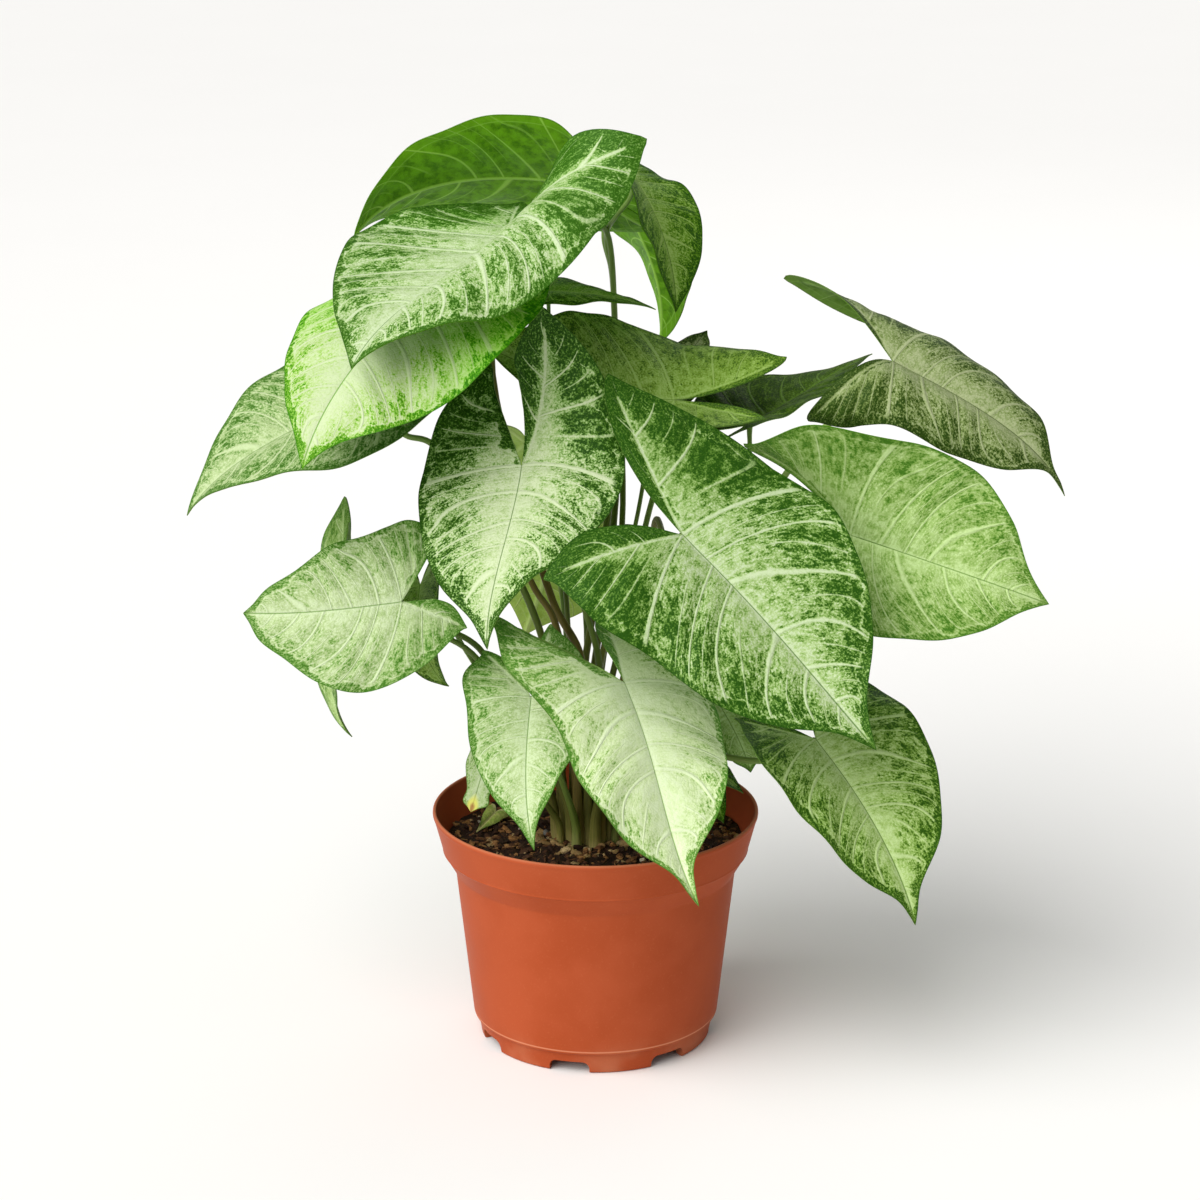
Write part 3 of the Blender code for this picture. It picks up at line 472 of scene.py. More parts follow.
# How blades are divided, and how they swell between their veins. Measures are shares of the blade's
# length, apart from those in metres and those that follow across, the way from rib to margin.
bladeBuild = {
    "thickness": 0.00045,  # metres
    "large": 0.06,  # metres; blades longer than this get the finer grid
    "largeVeins": (3, 6),  # side veins in a lobe and along one half of the midrib
    "smallVeins": (3, 5),
    "rowsPerVein": 10,
    "across": (0, 0.02, 0.05, 0.09, 0.15, 0.22, 0.3, 0.39, 0.48, 0.57, 0.66, 0.75, 0.83, 0.9, 0.95, 1),
    "edgeSteps": 16,  # from one of the edge's points to the next
    "notchShape": ((0.33, 1.15), (0.7, 0.7)),  # share of the way out on the lobe, and of the sinus
    "frontShape": ((0.34, 0.84), (0.62, 0.53)),  # share of the way from shoulder to tip, and of the width
    "tipShape": ((0.82, 0.25), (0.93, 0.085)),  # the same where the tip is drawn out
    "lobeRib": 0.86,  # how far the rib runs into the lobe, share of the lobe
    "lobeFront": 0.9,  # where the lobe's rows give way to the midrib's, share of widest
    "innerArch": -0.05,  # arch of the side veins towards the notch, share of their length
    "veinArch": 0.1,  # and of all others
    "notchOpening": 0.03,  # keeps the two halves of the notch apart
    "quilting": 0.008,  # height of the pillows between veins
    "quiltStart": (0, 0.3),  # they rise and end here, on the way across
    "quiltEnd": (0.78, 0.94),
    "flatByRib": (0.0, 0.1),
    "flatByEdge": (0.01, 0.07),
    "channel": 0.004,  # depth of the groove along the ribs
    "channelWidth": 0.014,
    "channelStart": (0.0, 0.08),
    "waves": 0.013,  # undulation of the margin
    "wavesByRib": (0.05, 0.3),
    "veinSweep": 0.5,  # how far side veins run on towards the tip, in veins
    "notchGap": (0.004, 0.009),  # metres; keeps the dark margin off the stalk: by how much, how far
    "spineLine": (-1.3, 1.1, 241),  # from behind the longest lobe to past the tip, in steps
    "speckleSeed": 500,  # added to the blade's own, so that no two blades share their speckles
}


def smoothThrough(points, steps):  # a smooth line through the points (Catmull-Rom)
    points = np.asarray(points, float)
    ends = np.vstack([2 * points[0] - points[1], points, 2 * points[-1] - points[-2]])
    t = np.linspace(0, 1, steps, endpoint=False)[:, None]
    line = []
    for first, start, end, last in zip(ends, ends[1:], ends[2:], ends[3:]):
        runs = (start - first, end - start, last - end)
        before, here, after = (max(np.linalg.norm(run), 1e-9) ** 0.5 for run in runs)
        leave = (start - first) / before - (end - first) / (before + here) + (end - start) / here
        arrive = (end - start) / here - (last - start) / (here + after) + (last - end) / after
        line.append(
            (2 * t**3 - 3 * t**2 + 1) * start
            + (t**3 - 2 * t**2 + t) * here * leave
            + (3 * t**2 - 2 * t**3) * end
            + (t**3 - t**2) * here * arrive
        )
    return np.vstack([*line, points[-1:]])


def lengthAlong(line):
    return np.concatenate([[0], np.cumsum(np.linalg.norm(np.diff(line, axis=0), axis=1))])


def evenly(line, count):
    run = lengthAlong(line)
    at = np.linspace(0, run[-1], count + 1)
    return np.stack([np.interp(at, run, column) for column in line.T], axis=1)


def edgeOfHalf(leaf, side):  # one half's edge, flat, from the stalk round the lobe to the tip
    lobe, spread, sinus = (leaf[key][side] for key in ("lobe", "spread", "sinus"))

    def ray(length, degrees):
        angle = math.radians(degrees)
        return np.array([length * math.sin(angle), -length * math.cos(angle)])

    end = ray(lobe, spread)
    along = end / lobe
    outwards = np.array([-along[1], along[0]])
    shoulder = np.array([leaf["width"][side], leaf["widest"][side]])
    run = shoulder - end
    bulge = leaf["bulge"][side] * np.array([run[1], -run[0]])
    points = [np.zeros(2)]
    points += [ray(share * lobe, spread - part * sinus) for share, part in bladeBuild["notchShape"]]
    points += [
        end - 0.045 * lobe * along - 0.04 * lobe * outwards,  # round the lobe's end
        end,
        end - 0.05 * lobe * along + 0.05 * lobe * outwards,
        end + 0.5 * run + bulge,
        shoulder,
    ]
    front = list(bladeBuild["frontShape"])
    front += [(share, width * leaf["tipWidth"]) for share, width in bladeBuild["tipShape"]]
    for share, width in front:
        points.append(np.array([shoulder[0] * width, shoulder[1] + share * (1 - shoulder[1])]))
    points.append(np.array([0.0, 1.0]))
    steps = bladeBuild["edgeSteps"]
    return smoothThrough(points, steps), 4 * steps  # the lobe ends at the fifth point


def rowsOfHalf(leaf, side):
    # Rows of flat points from rib to edge, each row's count of side veins and how many a lobe has,
    # and the rib and edge.
    edge, lobeEnd = edgeOfHalf(leaf, side)
    size = "largeVeins" if leaf["length"] > bladeBuild["large"] else "smallVeins"
    lobeVeins, frontVeins = bladeBuild[size]
    lobeSteps = lobeVeins * bladeBuild["rowsPerVein"]
    frontSteps = frontVeins * bladeBuild["rowsPerVein"]
    front = bladeBuild["lobeFront"] * leaf["widest"][side]
    split = lobeEnd + int(np.argmin(np.abs(edge[lobeEnd:, 1] - front)))
    inner = evenly(edge[: lobeEnd + 1], lobeSteps)
    outer = evenly(edge[lobeEnd : split + 1], lobeSteps)
    ahead = evenly(edge[split:], frontSteps)
    ribEnd = bladeBuild["lobeRib"] * edge[lobeEnd]
    arch = bladeBuild["veinArch"]
    rows = [(ribEnd * i / lobeSteps, inner[i], bladeBuild["innerArch"]) for i in range(lobeSteps + 1)]
    rows += [(ribEnd * (1 - i / lobeSteps), outer[i], arch) for i in range(1, lobeSteps + 1)]
    rows += [(np.array([0, (i / frontSteps) ** 1.15]), ahead[i], arch) for i in range(1, frontSteps + 1)]
    lines = []
    for root, rim, bow in rows:
        run = rim - root
        control = root + 0.5 * run + bow * np.array([run[1], -run[0]])
        line = [(1 - v) ** 2 * root + 2 * v * (1 - v) * control + v**2 * rim for v in bladeBuild["across"]]
        lines.append(line)
    lines = np.array(lines)
    least = np.where(lines[:, :, 1] < -1e-6, -bladeBuild["notchOpening"] * lines[:, :, 1], 0)
    lines[:, :, 0] = np.maximum(lines[:, :, 0], least)
    count = np.arange(len(rows)) / bladeBuild["rowsPerVein"] - 2 * lobeVeins
    rib = [ribEnd * share for share in np.linspace(1, 0, 12)] + [(0, y) for y in np.linspace(0, 1, 30)]
    return lines, count, lobeVeins, np.array(rib), edge


def reachTo(points, line):  # distance from each flat point to a line of many short steps
    start, end = line[:-1], line[1:]
    run = end - start
    away = points[:, None, :] - start[None]
    share = np.clip((away * run).sum(2) / np.maximum((run * run).sum(1), 1e-12), 0, 1)
    return np.linalg.norm(away - share[:, :, None] * run, axis=2).min(1)


def bladeAxes(leaf):  # ahead, right and up at the stalk
    heading, pitch, roll = (math.radians(angle) for angle in leaf["turn"])
    level = np.array([math.sin(heading), -math.cos(heading), 0.0])
    flatReach = math.cos(pitch)
    ahead = np.array([flatReach * math.cos(heading), flatReach * math.sin(heading), math.sin(pitch)])
    normal = np.cross(level, ahead)
    right = math.cos(roll) * level + math.sin(roll) * normal
    up = math.cos(roll) * normal - math.sin(roll) * level
    return ahead, right, up


def bend(leaf, flat):  # flat points (right, ahead) in metres to their places on the bent blade
    length = leaf["length"]
    right = flat[:, 0]
    along = flat[:, 1] / length
    placed = np.zeros((len(flat), 3))
    line = np.linspace(*bladeBuild["spineLine"])
    ahead = np.clip(line, 0, None)
    behind = np.clip(-line, 0, None)
    sweep = np.radians(leaf["sweep"] * ahead**2)
    for side, mine in enumerate((right >= 0, right < 0)):
        sign = 1 - 2 * side
        rise = leaf["lobeArch"][side] * behind - leaf["arch"] * ahead - leaf["droop"] * ahead**3
        rise = np.radians(rise)
        here = along[mine]
        spine = []
        for slope in (np.cos(rise) * np.cos(sweep), np.cos(rise) * np.sin(sweep), np.sin(rise)):
            run = np.concatenate([[0], np.cumsum((slope[1:] + slope[:-1]) / 2 * (line[1] - line[0]))])
            spine.append(length * np.interp(here, line, run - np.interp(0, line, run)))
        across = np.abs(right[mine])
        fold = leaf["fold"][side] + (leaf["tipFold"][side] - leaf["fold"][side]) * np.clip(here, 0, 1)
        fold = np.radians(fold + leaf["lobeFold"][side] * np.clip(-here, 0, None))
        curl = np.radians(leaf["curl"][side] * across / (2 * leaf["width"][side] * length))
        reach = across * np.sinc(curl / math.pi)
        out = sign * reach * np.cos(fold - curl)
        up = reach * np.sin(fold - curl)
        turn = np.radians(leaf["twist"] * np.clip(here, 0, None))
        out, up = out * np.cos(turn) - up * np.sin(turn), out * np.sin(turn) + up * np.cos(turn)
        slope = np.interp(here, line, rise)
        swing = np.interp(here, line, sweep)
        placed[mine, 0] = spine[0] - out * np.sin(swing) - up * np.sin(slope) * np.cos(swing)
        placed[mine, 1] = spine[1] + out * np.cos(swing) - up * np.sin(slope) * np.sin(swing)
        placed[mine, 2] = spine[2] + up * np.cos(slope)
    axes = enumerate(bladeAxes(leaf))
    return sum((placed[:, k, None] * axis for k, axis in axes), np.array(leaf["at"]))


def softStep(value, low, high):
    t = np.clip((value - low) / (high - low), 0, 1)
    return t * t * (3 - 2 * t)


def veinCount(count, across, lobeVeins, phase):
    # Side veins lie where this is whole. They run on towards the tip, and none is quite regular.
    marks = (-2 * lobeVeins, -lobeVeins - 1, -lobeVeins, -lobeVeins + 1, -1.2, 0, 1.5)
    lean = np.interp(count, marks, (1, 1, 0, -1, -1, 0, 1))
    drift = 0.2 * np.sin(1.9 * count + phase) + 0.1 * np.sin(3.1 * count + 2.3 * across + 2 * phase)
    fade = np.clip(np.abs(count), 0, 1)  # the vein from the stalk to the shoulder stays put
    return count - bladeBuild["veinSweep"] * lean * across**2.4 + drift * fade


def bladeSurface(leaf, seed):
    # The middle surface, bent and flat, its relief, and its faces with (vein, share, rib, edge) for
    # each of their corners.
    chance = random.Random(seed)
    build = bladeBuild
    length = leaf["length"]
    gap, gapReach = build["notchGap"]
    flat = []
    relief = []
    known = {}
    faces = []
    corners = []
    for side, sign in ((0, 1), (1, -1)):
        lines, count, lobeVeins, rib, edge = rowsOfHalf(leaf, side)
        shape = lines.shape[:2]
        points = lines.reshape(-1, 2)
        toRib = reachTo(points, rib).reshape(shape)
        toEdge = reachTo(points, edge).reshape(shape)
        fromStalk = np.linalg.norm(points, axis=1).reshape(shape)
        share = np.broadcast_to(np.array(build["across"]), shape)
        count = np.broadcast_to(count[:, None], shape)
        veins = veinCount(count, share, lobeVeins, chance.uniform(0, 6))
        swell = np.sin(math.pi * veins) ** 2 * softStep(share, *build["quiltStart"])
        swell = swell * (1 - softStep(share, *build["quiltEnd"]))
        swell = swell * softStep(toRib, *build["flatByRib"]) * softStep(toEdge, *build["flatByEdge"])
        groove = np.exp(-((toRib / build["channelWidth"]) ** 2))
        groove = groove * softStep(fromStalk, *build["channelStart"])
        phase = chance.uniform(0, 6)
        rhythm = np.sin(1.7 * count + phase) + 0.6 * np.sin(3.3 * count + 2 * phase)
        wave = rhythm * share**3 * softStep(toRib, *build["wavesByRib"])
        height = build["quilting"] * swell - build["channel"] * groove + build["waves"] * wave
        edgeReach = toEdge * length + gap * np.exp(-((fromStalk * length / gapReach) ** 2))
        values = np.stack([veins, share, toRib * length, edgeReach], axis=2)
        index = np.zeros(shape, int)
        for spot in np.ndindex(*shape):
            x, y = lines[spot] * length
            key = (round(sign * x, 6), round(y, 6))
            if key not in known:
                known[key] = len(flat)
                flat.append(key)
                relief.append(height[spot] * length)
            index[spot] = known[key]
        for i, k in np.ndindex(shape[0] - 1, shape[1] - 1):
            face = {}
            for spot in ((i, k), (i, k + 1), (i + 1, k + 1), (i + 1, k))[::sign]:
                face.setdefault(int(index[spot]), values[spot])
            if len(face) > 2:
                faces.append(tuple(face))
                corners.append(list(face.values()))
    flat = np.array(flat)
    return bend(leaf, flat), flat, np.array(relief), faces, corners


def makeBlade(name, leaf, materials, seed):
    middle, flat, relief, faces, corners = bladeSurface(leaf, seed)
    normals = np.zeros_like(middle)
    edges = set()
    for face in faces:
        spots = middle[list(face)]
        normal = np.cross(spots[1] - spots[0], spots[2] - spots[0])
        if len(face) > 3:
            normal += np.cross(spots[2] - spots[0], spots[3] - spots[0])
        for corner, after in zip(face, face[1:] + face[:1]):
            normals[corner] += normal
            edges.add((corner, after))
    normals /= np.maximum(np.linalg.norm(normals, axis=1, keepdims=True), 1e-12)
    count = len(middle)
    half = bladeBuild["thickness"] / 2
    raised = middle + normals * relief[:, None]
    points = np.vstack([raised + normals * half, raised - normals * half])
    shell = list(faces)
    values = [value for face in corners for value in face]
    valueOf = {}
    for face, own in zip(faces, corners):
        valueOf.update(zip(face, own))
        shell.append(tuple(corner + count for corner in reversed(face)))
        values += reversed(own)
    for corner, after in edges:
        if (after, corner) not in edges:
            shell.append((after, corner, corner + count, after + count))
            values += [valueOf[end] for end in (after, corner, corner, after)]
    slots = [0] * len(faces) + [1] * (len(shell) - len(faces))
    shift = random.Random(seed + bladeBuild["speckleSeed"])
    away = np.array([shift.uniform(0, 3), shift.uniform(0, 3)])
    loops = np.concatenate([np.array(face) for face in shell]) % count
    values = np.array(values)
    maps = {"veins": values[:, :2], "reach": values[:, 2:], "flat": flat[loops] + away}
    return newMesh(name, points, shell, materials, slots, maps, sharp=60)


# Colours of the blades' upper sides, from the pale veins through light, middle and dark tones to the
# rim. base darkens all of it, streaks the fields between side veins, lobes the lobes, margin the
# margin, and grain makes it granular, all from 0 to 1. marginWidth is in metres. The tint towards the
# stalk is painted light, a more saturated green where light comes through the leaf above, and
# withered is a dead tip's colour.
topLooks = {
    "deep": dict(
        vein=(0.505, 0.615, 0.375), light=(0.345, 0.485, 0.19), middle=(0.19, 0.33, 0.075),
        dark=(0.08, 0.19, 0.02), rim=(0.018, 0.075, 0.003),
        base=0.27, streaks=0.53, lobes=0.48, margin=0.86, marginWidth=0.0062, grain=0.38,
    ),
    "crisp": dict(
        vein=(0.575, 0.665, 0.425), light=(0.45, 0.565, 0.285), middle=(0.25, 0.41, 0.12),
        dark=(0.085, 0.2, 0.022), rim=(0.016, 0.062, 0.003),
        base=0.17, streaks=0.52, lobes=0.48, margin=0.84, marginWidth=0.0062, grain=0.46,
    ),
    "fresh": dict(
        vein=(0.54, 0.66, 0.405), light=(0.415, 0.545, 0.265), middle=(0.25, 0.42, 0.115),
        dark=(0.1, 0.24, 0.03), rim=(0.03, 0.11, 0.005),
        base=0.18, streaks=0.49, lobes=0.52, margin=0.84, marginWidth=0.006, grain=0.42,
    ),
    "yellow": dict(
        vein=(0.535, 0.64, 0.38), light=(0.45, 0.595, 0.26), middle=(0.28, 0.5, 0.08),
        dark=(0.13, 0.37, 0.012), rim=(0.04, 0.19, 0.002),
        base=0.08, streaks=0.38, lobes=0.3, margin=0.75, marginWidth=0.0055, grain=0.4, throughLightTint=0.85,
    ),
    "lime": dict(
        vein=(0.49, 0.65, 0.29), light=(0.34, 0.49, 0.165), middle=(0.24, 0.39, 0.095),
        dark=(0.15, 0.29, 0.045), rim=(0.055, 0.17, 0.012),
        base=0.27, streaks=0.31, lobes=0.15, margin=0.72, marginWidth=0.0045, grain=0.28,
    ),
    "milky": dict(
        vein=(0.72, 0.84, 0.54), light=(0.63, 0.765, 0.415), middle=(0.49, 0.65, 0.285),
        dark=(0.25, 0.43, 0.1), rim=(0.08, 0.24, 0.025),
        base=0.15, streaks=0.27, lobes=0.5, margin=0.74, marginWidth=0.005, grain=0.28,
    ),
    "soft": dict(
        vein=(0.56, 0.67, 0.41), light=(0.43, 0.545, 0.27), middle=(0.3, 0.43, 0.165),
        dark=(0.17, 0.32, 0.068), rim=(0.05, 0.16, 0.012),
        base=0.2, streaks=0.3, lobes=0.3, margin=0.74, marginWidth=0.005, grain=0.3,
    ),
    "aged": dict(
        vein=(0.415, 0.5, 0.295), light=(0.35, 0.445, 0.225), middle=(0.28, 0.4, 0.15),
        dark=(0.16, 0.28, 0.06), rim=(0.06, 0.15, 0.015),
        base=0.2, streaks=0.3, lobes=0.2, margin=0.5, marginWidth=0.003, grain=0.45,
        withered=(0.36, 0.2, 0.06),
    ),
    "sage": dict(
        vein=(0.5, 0.61, 0.34), light=(0.37, 0.49, 0.22), middle=(0.24, 0.37, 0.13),
        dark=(0.14, 0.27, 0.06), rim=(0.045, 0.14, 0.012),
        base=0.25, streaks=0.38, lobes=0.3, margin=0.76, marginWidth=0.0052, grain=0.4,
    ),
    # Partly painted shade: the leaves' own mottling in darker, greyer tones, for leaves that sit in shade
    "shadedGrey": dict(
        vein=(0.36, 0.42, 0.22), light=(0.24, 0.31, 0.12), middle=(0.17, 0.24, 0.07),
        dark=(0.085, 0.135, 0.026), rim=(0.022, 0.056, 0.004),
        base=0.2, streaks=0.56, lobes=0.46, margin=0.86, marginWidth=0.006, grain=0.5,
    ),
    "mossy": dict(
        vein=(0.47, 0.62, 0.27), light=(0.34, 0.495, 0.15), middle=(0.22, 0.365, 0.075),
        dark=(0.11, 0.23, 0.022), rim=(0.024, 0.082, 0.003),
        base=0.24, streaks=0.44, lobes=0.36, margin=0.84, marginWidth=0.006, grain=0.36,
    ),
    # Partly painted light: olive mottling, with tones raised to make up for the shade its leaves sit in
    "olive": dict(
        vein=(0.33, 0.5, 0.13), light=(0.25, 0.4, 0.075), middle=(0.185, 0.32, 0.04),
        dark=(0.13, 0.245, 0.02), rim=(0.035, 0.1, 0.006),
        base=0.32, streaks=0.28, lobes=0.12, margin=0.8, marginWidth=0.0042, grain=0.55,
    ),
    "plain": dict(
        vein=(0.27, 0.42, 0.1), light=(0.16, 0.3, 0.038), middle=(0.09, 0.215, 0.009),
        dark=(0.048, 0.14, 0.003), rim=(0.018, 0.07, 0.002),
        base=0.27, streaks=0.45, lobes=0.2, margin=0.75, marginWidth=0.0055, grain=0.5,
    ),
    "dusky": dict(
        vein=(0.11, 0.21, 0.03), light=(0.067, 0.135, 0.009), middle=(0.045, 0.098, 0.003),
        dark=(0.032, 0.077, 0.002), rim=(0.017, 0.05, 0.001),
        base=0.5, streaks=0.2, lobes=0.0, margin=0.6, marginWidth=0.004, grain=0.4,
    ),
}
underLooks = {
    "bright": dict(field=(0.062, 0.19, 0.003), light=(0.15, 0.38, 0.012), vein=(0.36, 0.66, 0.1)),
    # Painted light: a much paler underside, for light that comes through the leaf
    "pale": dict(field=(0.31, 0.5, 0.07), light=(0.4, 0.58, 0.12), vein=(0.5, 0.66, 0.22)),
    "dull": dict(field=(0.1, 0.21, 0.022), light=(0.17, 0.31, 0.055), vein=(0.27, 0.43, 0.12)),
}

# Fineness of the mottling, and widths of the lines in metres: on the front and on the lobe, or where
# a line has faded and where it is plain.
topPattern = {
    "grain": 1050.0,  # speckles to the metre
    "blush": 190.0,
    "breadth": 85.0,
    "cloud": 75.0,
    "net": 420.0,
    "streaks": (3.6, 4.4, 1.0),  # speckles from vein to vein and across the blade
    "fine": (15.0, 14.0, 1.0),
    "ontoLobe": (0.15, -0.9),  # side veins from the shoulder, which is 0
    "ribWidth": (0.0021, 0.0012),
    "ribShade": (0.008, 0.003),  # the ground is paler this close to the rib
    "veinWidth": (0.085, 0.05),  # share of the space between two veins, by the rib and by the margin
    "veinPaleness": 0.74,
    "grooveShadowWidth": (0.00035, 0.0001),
    "rimWidth": (0.0006, 0.00015),
    "clearOfRim": (0.0022, 0.005),  # side veins fade out here
    "darkest": 0.8,
    "tones": (0.05, 0.24, 0.45, 0.62, 0.82),  # darkness of vein, light, middle, dark and rim
    "relief": 0.0009,  # depth of the finest relief
}


def topFinish(name, look):
    leaf = Finish("bladeTop_" + name, roughness=0.45, specular=0.07)
    step, mix, times, timesPlus, most = leaf.step, leaf.mix, leaf.times, leaf.timesPlus, leaf.most
    pattern = topPattern
    flat = leaf.place("flat")
    veins, share, _ = leaf.parts(leaf.place("veins"))
    rib, edge, _ = leaf.parts(leaf.place("reach"))
    grain = leaf.speckle(flat, pattern["grain"], 2.0, 0.75)
    cloud = leaf.speckle(flat, pattern["cloud"], 3.0, 0.6)
    breadth = leaf.speckle(flat, pattern["breadth"], 3.0, 0.6)
    blush = leaf.speckle(flat, pattern["blush"])
    streak = leaf.speckle(leaf.place("veins", pattern["streaks"]), 1.0, 3.0, 0.62)
    fine = leaf.speckle(leaf.place("veins", pattern["fine"]), 1.0, 2.0, 0.6)

    def lobeward(ahead, lobe):
        return step(veins, *pattern["ontoLobe"], ahead, lobe)

    # Darker between the side veins, the more so towards the margin and on the lobes
    offVein = times(leaf.maths("PINGPONG", veins, 0.5), 2.0)  # 0 on a side vein, 1 between two
    offSecond = leaf.minus(1.0, offVein)
    between = times(step(offVein, 0.0, 0.36, 0.15), step(offSecond, 0.0, 0.22, 0.6))
    outwards = step(leaf.over(share, lobeward(0.72, 0.55)), 0.2, 1.1)
    patches = times(step(streak, 0.34, 0.66, 0.42, 1.36), step(cloud, 0.34, 0.62, 0.72, 1.15))
    field = times(between, outwards, patches)
    byRib = step(leaf.over(rib, lobeward(*pattern["ribShade"])), 0.0, 1.0, 0.75)
    ground = times(step(blush, 0.36, 0.64, 0.55, 1.35), byRib)
    darkness = timesPlus(field, look["streaks"], times(ground, look["base"]))
    onLobe = lobeward(0.0, 1.0)
    lobes = times(onLobe, step(offVein, 0.0, 0.3, 0.3), step(share, 0.0, 0.45, 0.58, 1.12))
    lobes = times(lobes, step(veins, -0.4, -4.5, 0.4, 1.15))
    darkness = timesPlus(lobes, look["lobes"], darkness)
    width = step(veins, 0.15, -2.5, look["marginWidth"], 2.1 * look["marginWidth"])
    width = times(step(breadth, 0.32, 0.68, 0.35, 1.35), width)
    border = step(leaf.minus(1.0, leaf.over(edge, width), clamp=True), 0.0, 0.55)
    border = times(border, step(cloud, 0.25, 0.6, 0.7 * look["margin"], look["margin"]))
    darkness = most(darkness, border)

    # Pale veins: the side veins, a finer one between two, the one inside the margin, and the rib
    inside = step(edge, *pattern["clearOfRim"])
    lineWidth = times(step(share, 0.0, 1.0, *pattern["veinWidth"]), timesPlus(onLobe, -0.4, 1.0))
    offLine = leaf.over(offVein, lineWidth)
    # A thin band on both sides of each pale line, for a painted shadow beside the veins
    veinShadow = times(step(offLine, 1.2, 1.9), step(offLine, 3.4, 1.9))
    second = times(step(offSecond, 0.045, 0.015, 0.0, 0.65), step(share, 0.2, 0.45))
    shoulder = step(leaf.maths("ABSOLUTE", veins), 0.05, 0.02)
    line = times(most(step(offLine, 1.6, 0.2), second, shoulder), inside)
    inset = leaf.maths("ABSOLUTE", leaf.minus(edge, times(width, 0.8)))
    ring = step(inset, 0.0008, 0.0002, 0.0, 0.55)
    ribBand = step(leaf.over(rib, lobeward(*pattern["ribWidth"])), 1.0, 0.2)
    ribBand = times(ribBand, step(edge, 0.0005, 0.003))
    pale = most(line, ring, ribBand)
    darkness = times(darkness, timesPlus(pale, -pattern["veinPaleness"], 1.0))
    # Painted shadow: a little darker beside each pale vein
    darkness = timesPlus(times(veinShadow, inside), 0.15, darkness)
    darkness = leaf.maths("MINIMUM", darkness, pattern["darkest"])

    # Granular tones
    depth = 0.75 * look["grain"]
    rough = leaf.maths("ADD", step(grain, 0.28, 0.72, -depth, depth), step(fine, 0.3, 0.7, -0.24, 0.24))
    rough = times(rough, timesPlus(onLobe, -0.35, 1.0), step(darkness, 0.1, 0.5, 0.36, 1.05))
    tones = [look[key] for key in ("vein", "light", "middle", "dark", "rim")]
    shade = leaf.ramp(leaf.maths("ADD", darkness, rough), list(zip(pattern["tones"], tones)))
    if "throughLightTint" in look:  # painted light: a more saturated green towards the stalk, where light comes through the leaf above
        fresh = times(step(veins, 2.4, -0.5), look["throughLightTint"])
        shade = mix(fresh, shade, (0.6, 1.0, 0.2), "MULTIPLY")
    shade = mix(times(line, timesPlus(onLobe, -0.18, 0.33)), shade, toned(look["vein"], 1.12))
    onMidrib = step(veins, -0.6, 0.2)
    # Painted shadow: a dark line down the midrib's groove
    groove = times(step(rib, *pattern["grooveShadowWidth"], 0.0, 0.8), onMidrib)
    shade = mix(groove, shade, look["dark"])
    shade = mix(step(edge, *pattern["rimWidth"], 0.0, 0.85), shade, look["rim"])
    if "withered" in look:  # yellow and then brown at the tip
        shade = mix(step(veins, 4.0, 4.6), shade, (0.55, 0.55, 0.12))
        shade = mix(step(veins, 4.6, 4.95), shade, look["withered"])
    pillow = times(step(offVein, 0.0, 0.7), step(offSecond, 0.0, 0.3, 0.6))
    relief = times(groove, -0.5)
    layers = ((leaf.net(flat, pattern["net"], 0.12), 0.12), (pillow, 0.42), (line, 0.5), (grain, 0.14))
    for layer, height in layers:
        relief = timesPlus(layer, height, relief)
    return leaf.done(shade, step(grain, 0.2, 0.8, 0.38, 0.52), relief, pattern["relief"], 0.7)


def underFinish(name, look):
    leaf = Finish("bladeUnder_" + name, roughness=0.5, specular=0.04)
    step, mix, times, timesPlus, most = leaf.step, leaf.mix, leaf.times, leaf.timesPlus, leaf.most
    flat = leaf.place("flat")
    veins, share, _ = leaf.parts(leaf.place("veins"))
    rib, edge, _ = leaf.parts(leaf.place("reach"))
    grain = leaf.speckle(flat, 700.0, 2.0, 0.6)
    cloud = leaf.speckle(flat, 160.0, 3.0, 0.65)
    offVein = times(leaf.maths("PINGPONG", veins, 0.5), 2.0)
    line = step(leaf.over(offVein, step(share, 0.0, 1.0, 0.12, 0.06)), 1.0, 0.2)
    second = step(leaf.minus(1.0, offVein), 0.06, 0.015, 0.0, 0.5)
    line = most(line, times(second, step(share, 0.2, 0.45)))
    band = step(rib, 0.0019, 0.0006)
    ring = step(leaf.maths("ABSOLUTE", leaf.minus(edge, 0.0045)), 0.0006, 0.0001, 0.0, 0.45)
    shade = mix(step(cloud, 0.36, 0.64), look["field"], look["light"])
    lighter = (
        step(grain, 0.45, 0.7, 0.0, 0.35),
        step(offVein, 0.5, 0.1, 0.0, 0.4),  # beside the side veins
        step(edge, 0.007, 0.003, 0.0, 0.6),
    )
    for amount in lighter:
        shade = mix(amount, shade, look["light"])
    shade = mix(times(most(times(line, 0.9), band, ring), 0.8), shade, look["vein"])
    shade = mix(step(edge, 0.0005, 0.0001, 0.0, 0.6), shade, toned(look["field"], 0.5))
    relief = timesPlus(leaf.net(flat, 380.0, 0.1), -0.3, most(line, band))
    return leaf.done(shade, step(grain, 0.2, 0.8, 0.45, 0.6), relief, 0.0004, 0.7)


topFinishes = {name: topFinish(name, look) for name, look in topLooks.items()}
underFinishes = {name: underFinish(name, look) for name, look in underLooks.items()}
blades = {name: {**usualLeaf, **leaf} for name, leaf in leaves.items()}
for number, (name, leaf) in enumerate(blades.items()):
    top, under = leaf["looks"]
    piece = makeBlade("leaf_" + name, leaf, [topFinishes[top], underFinishes[under]], number)
    fit(piece, "blade", "blade_" + name)
print("blades ready")


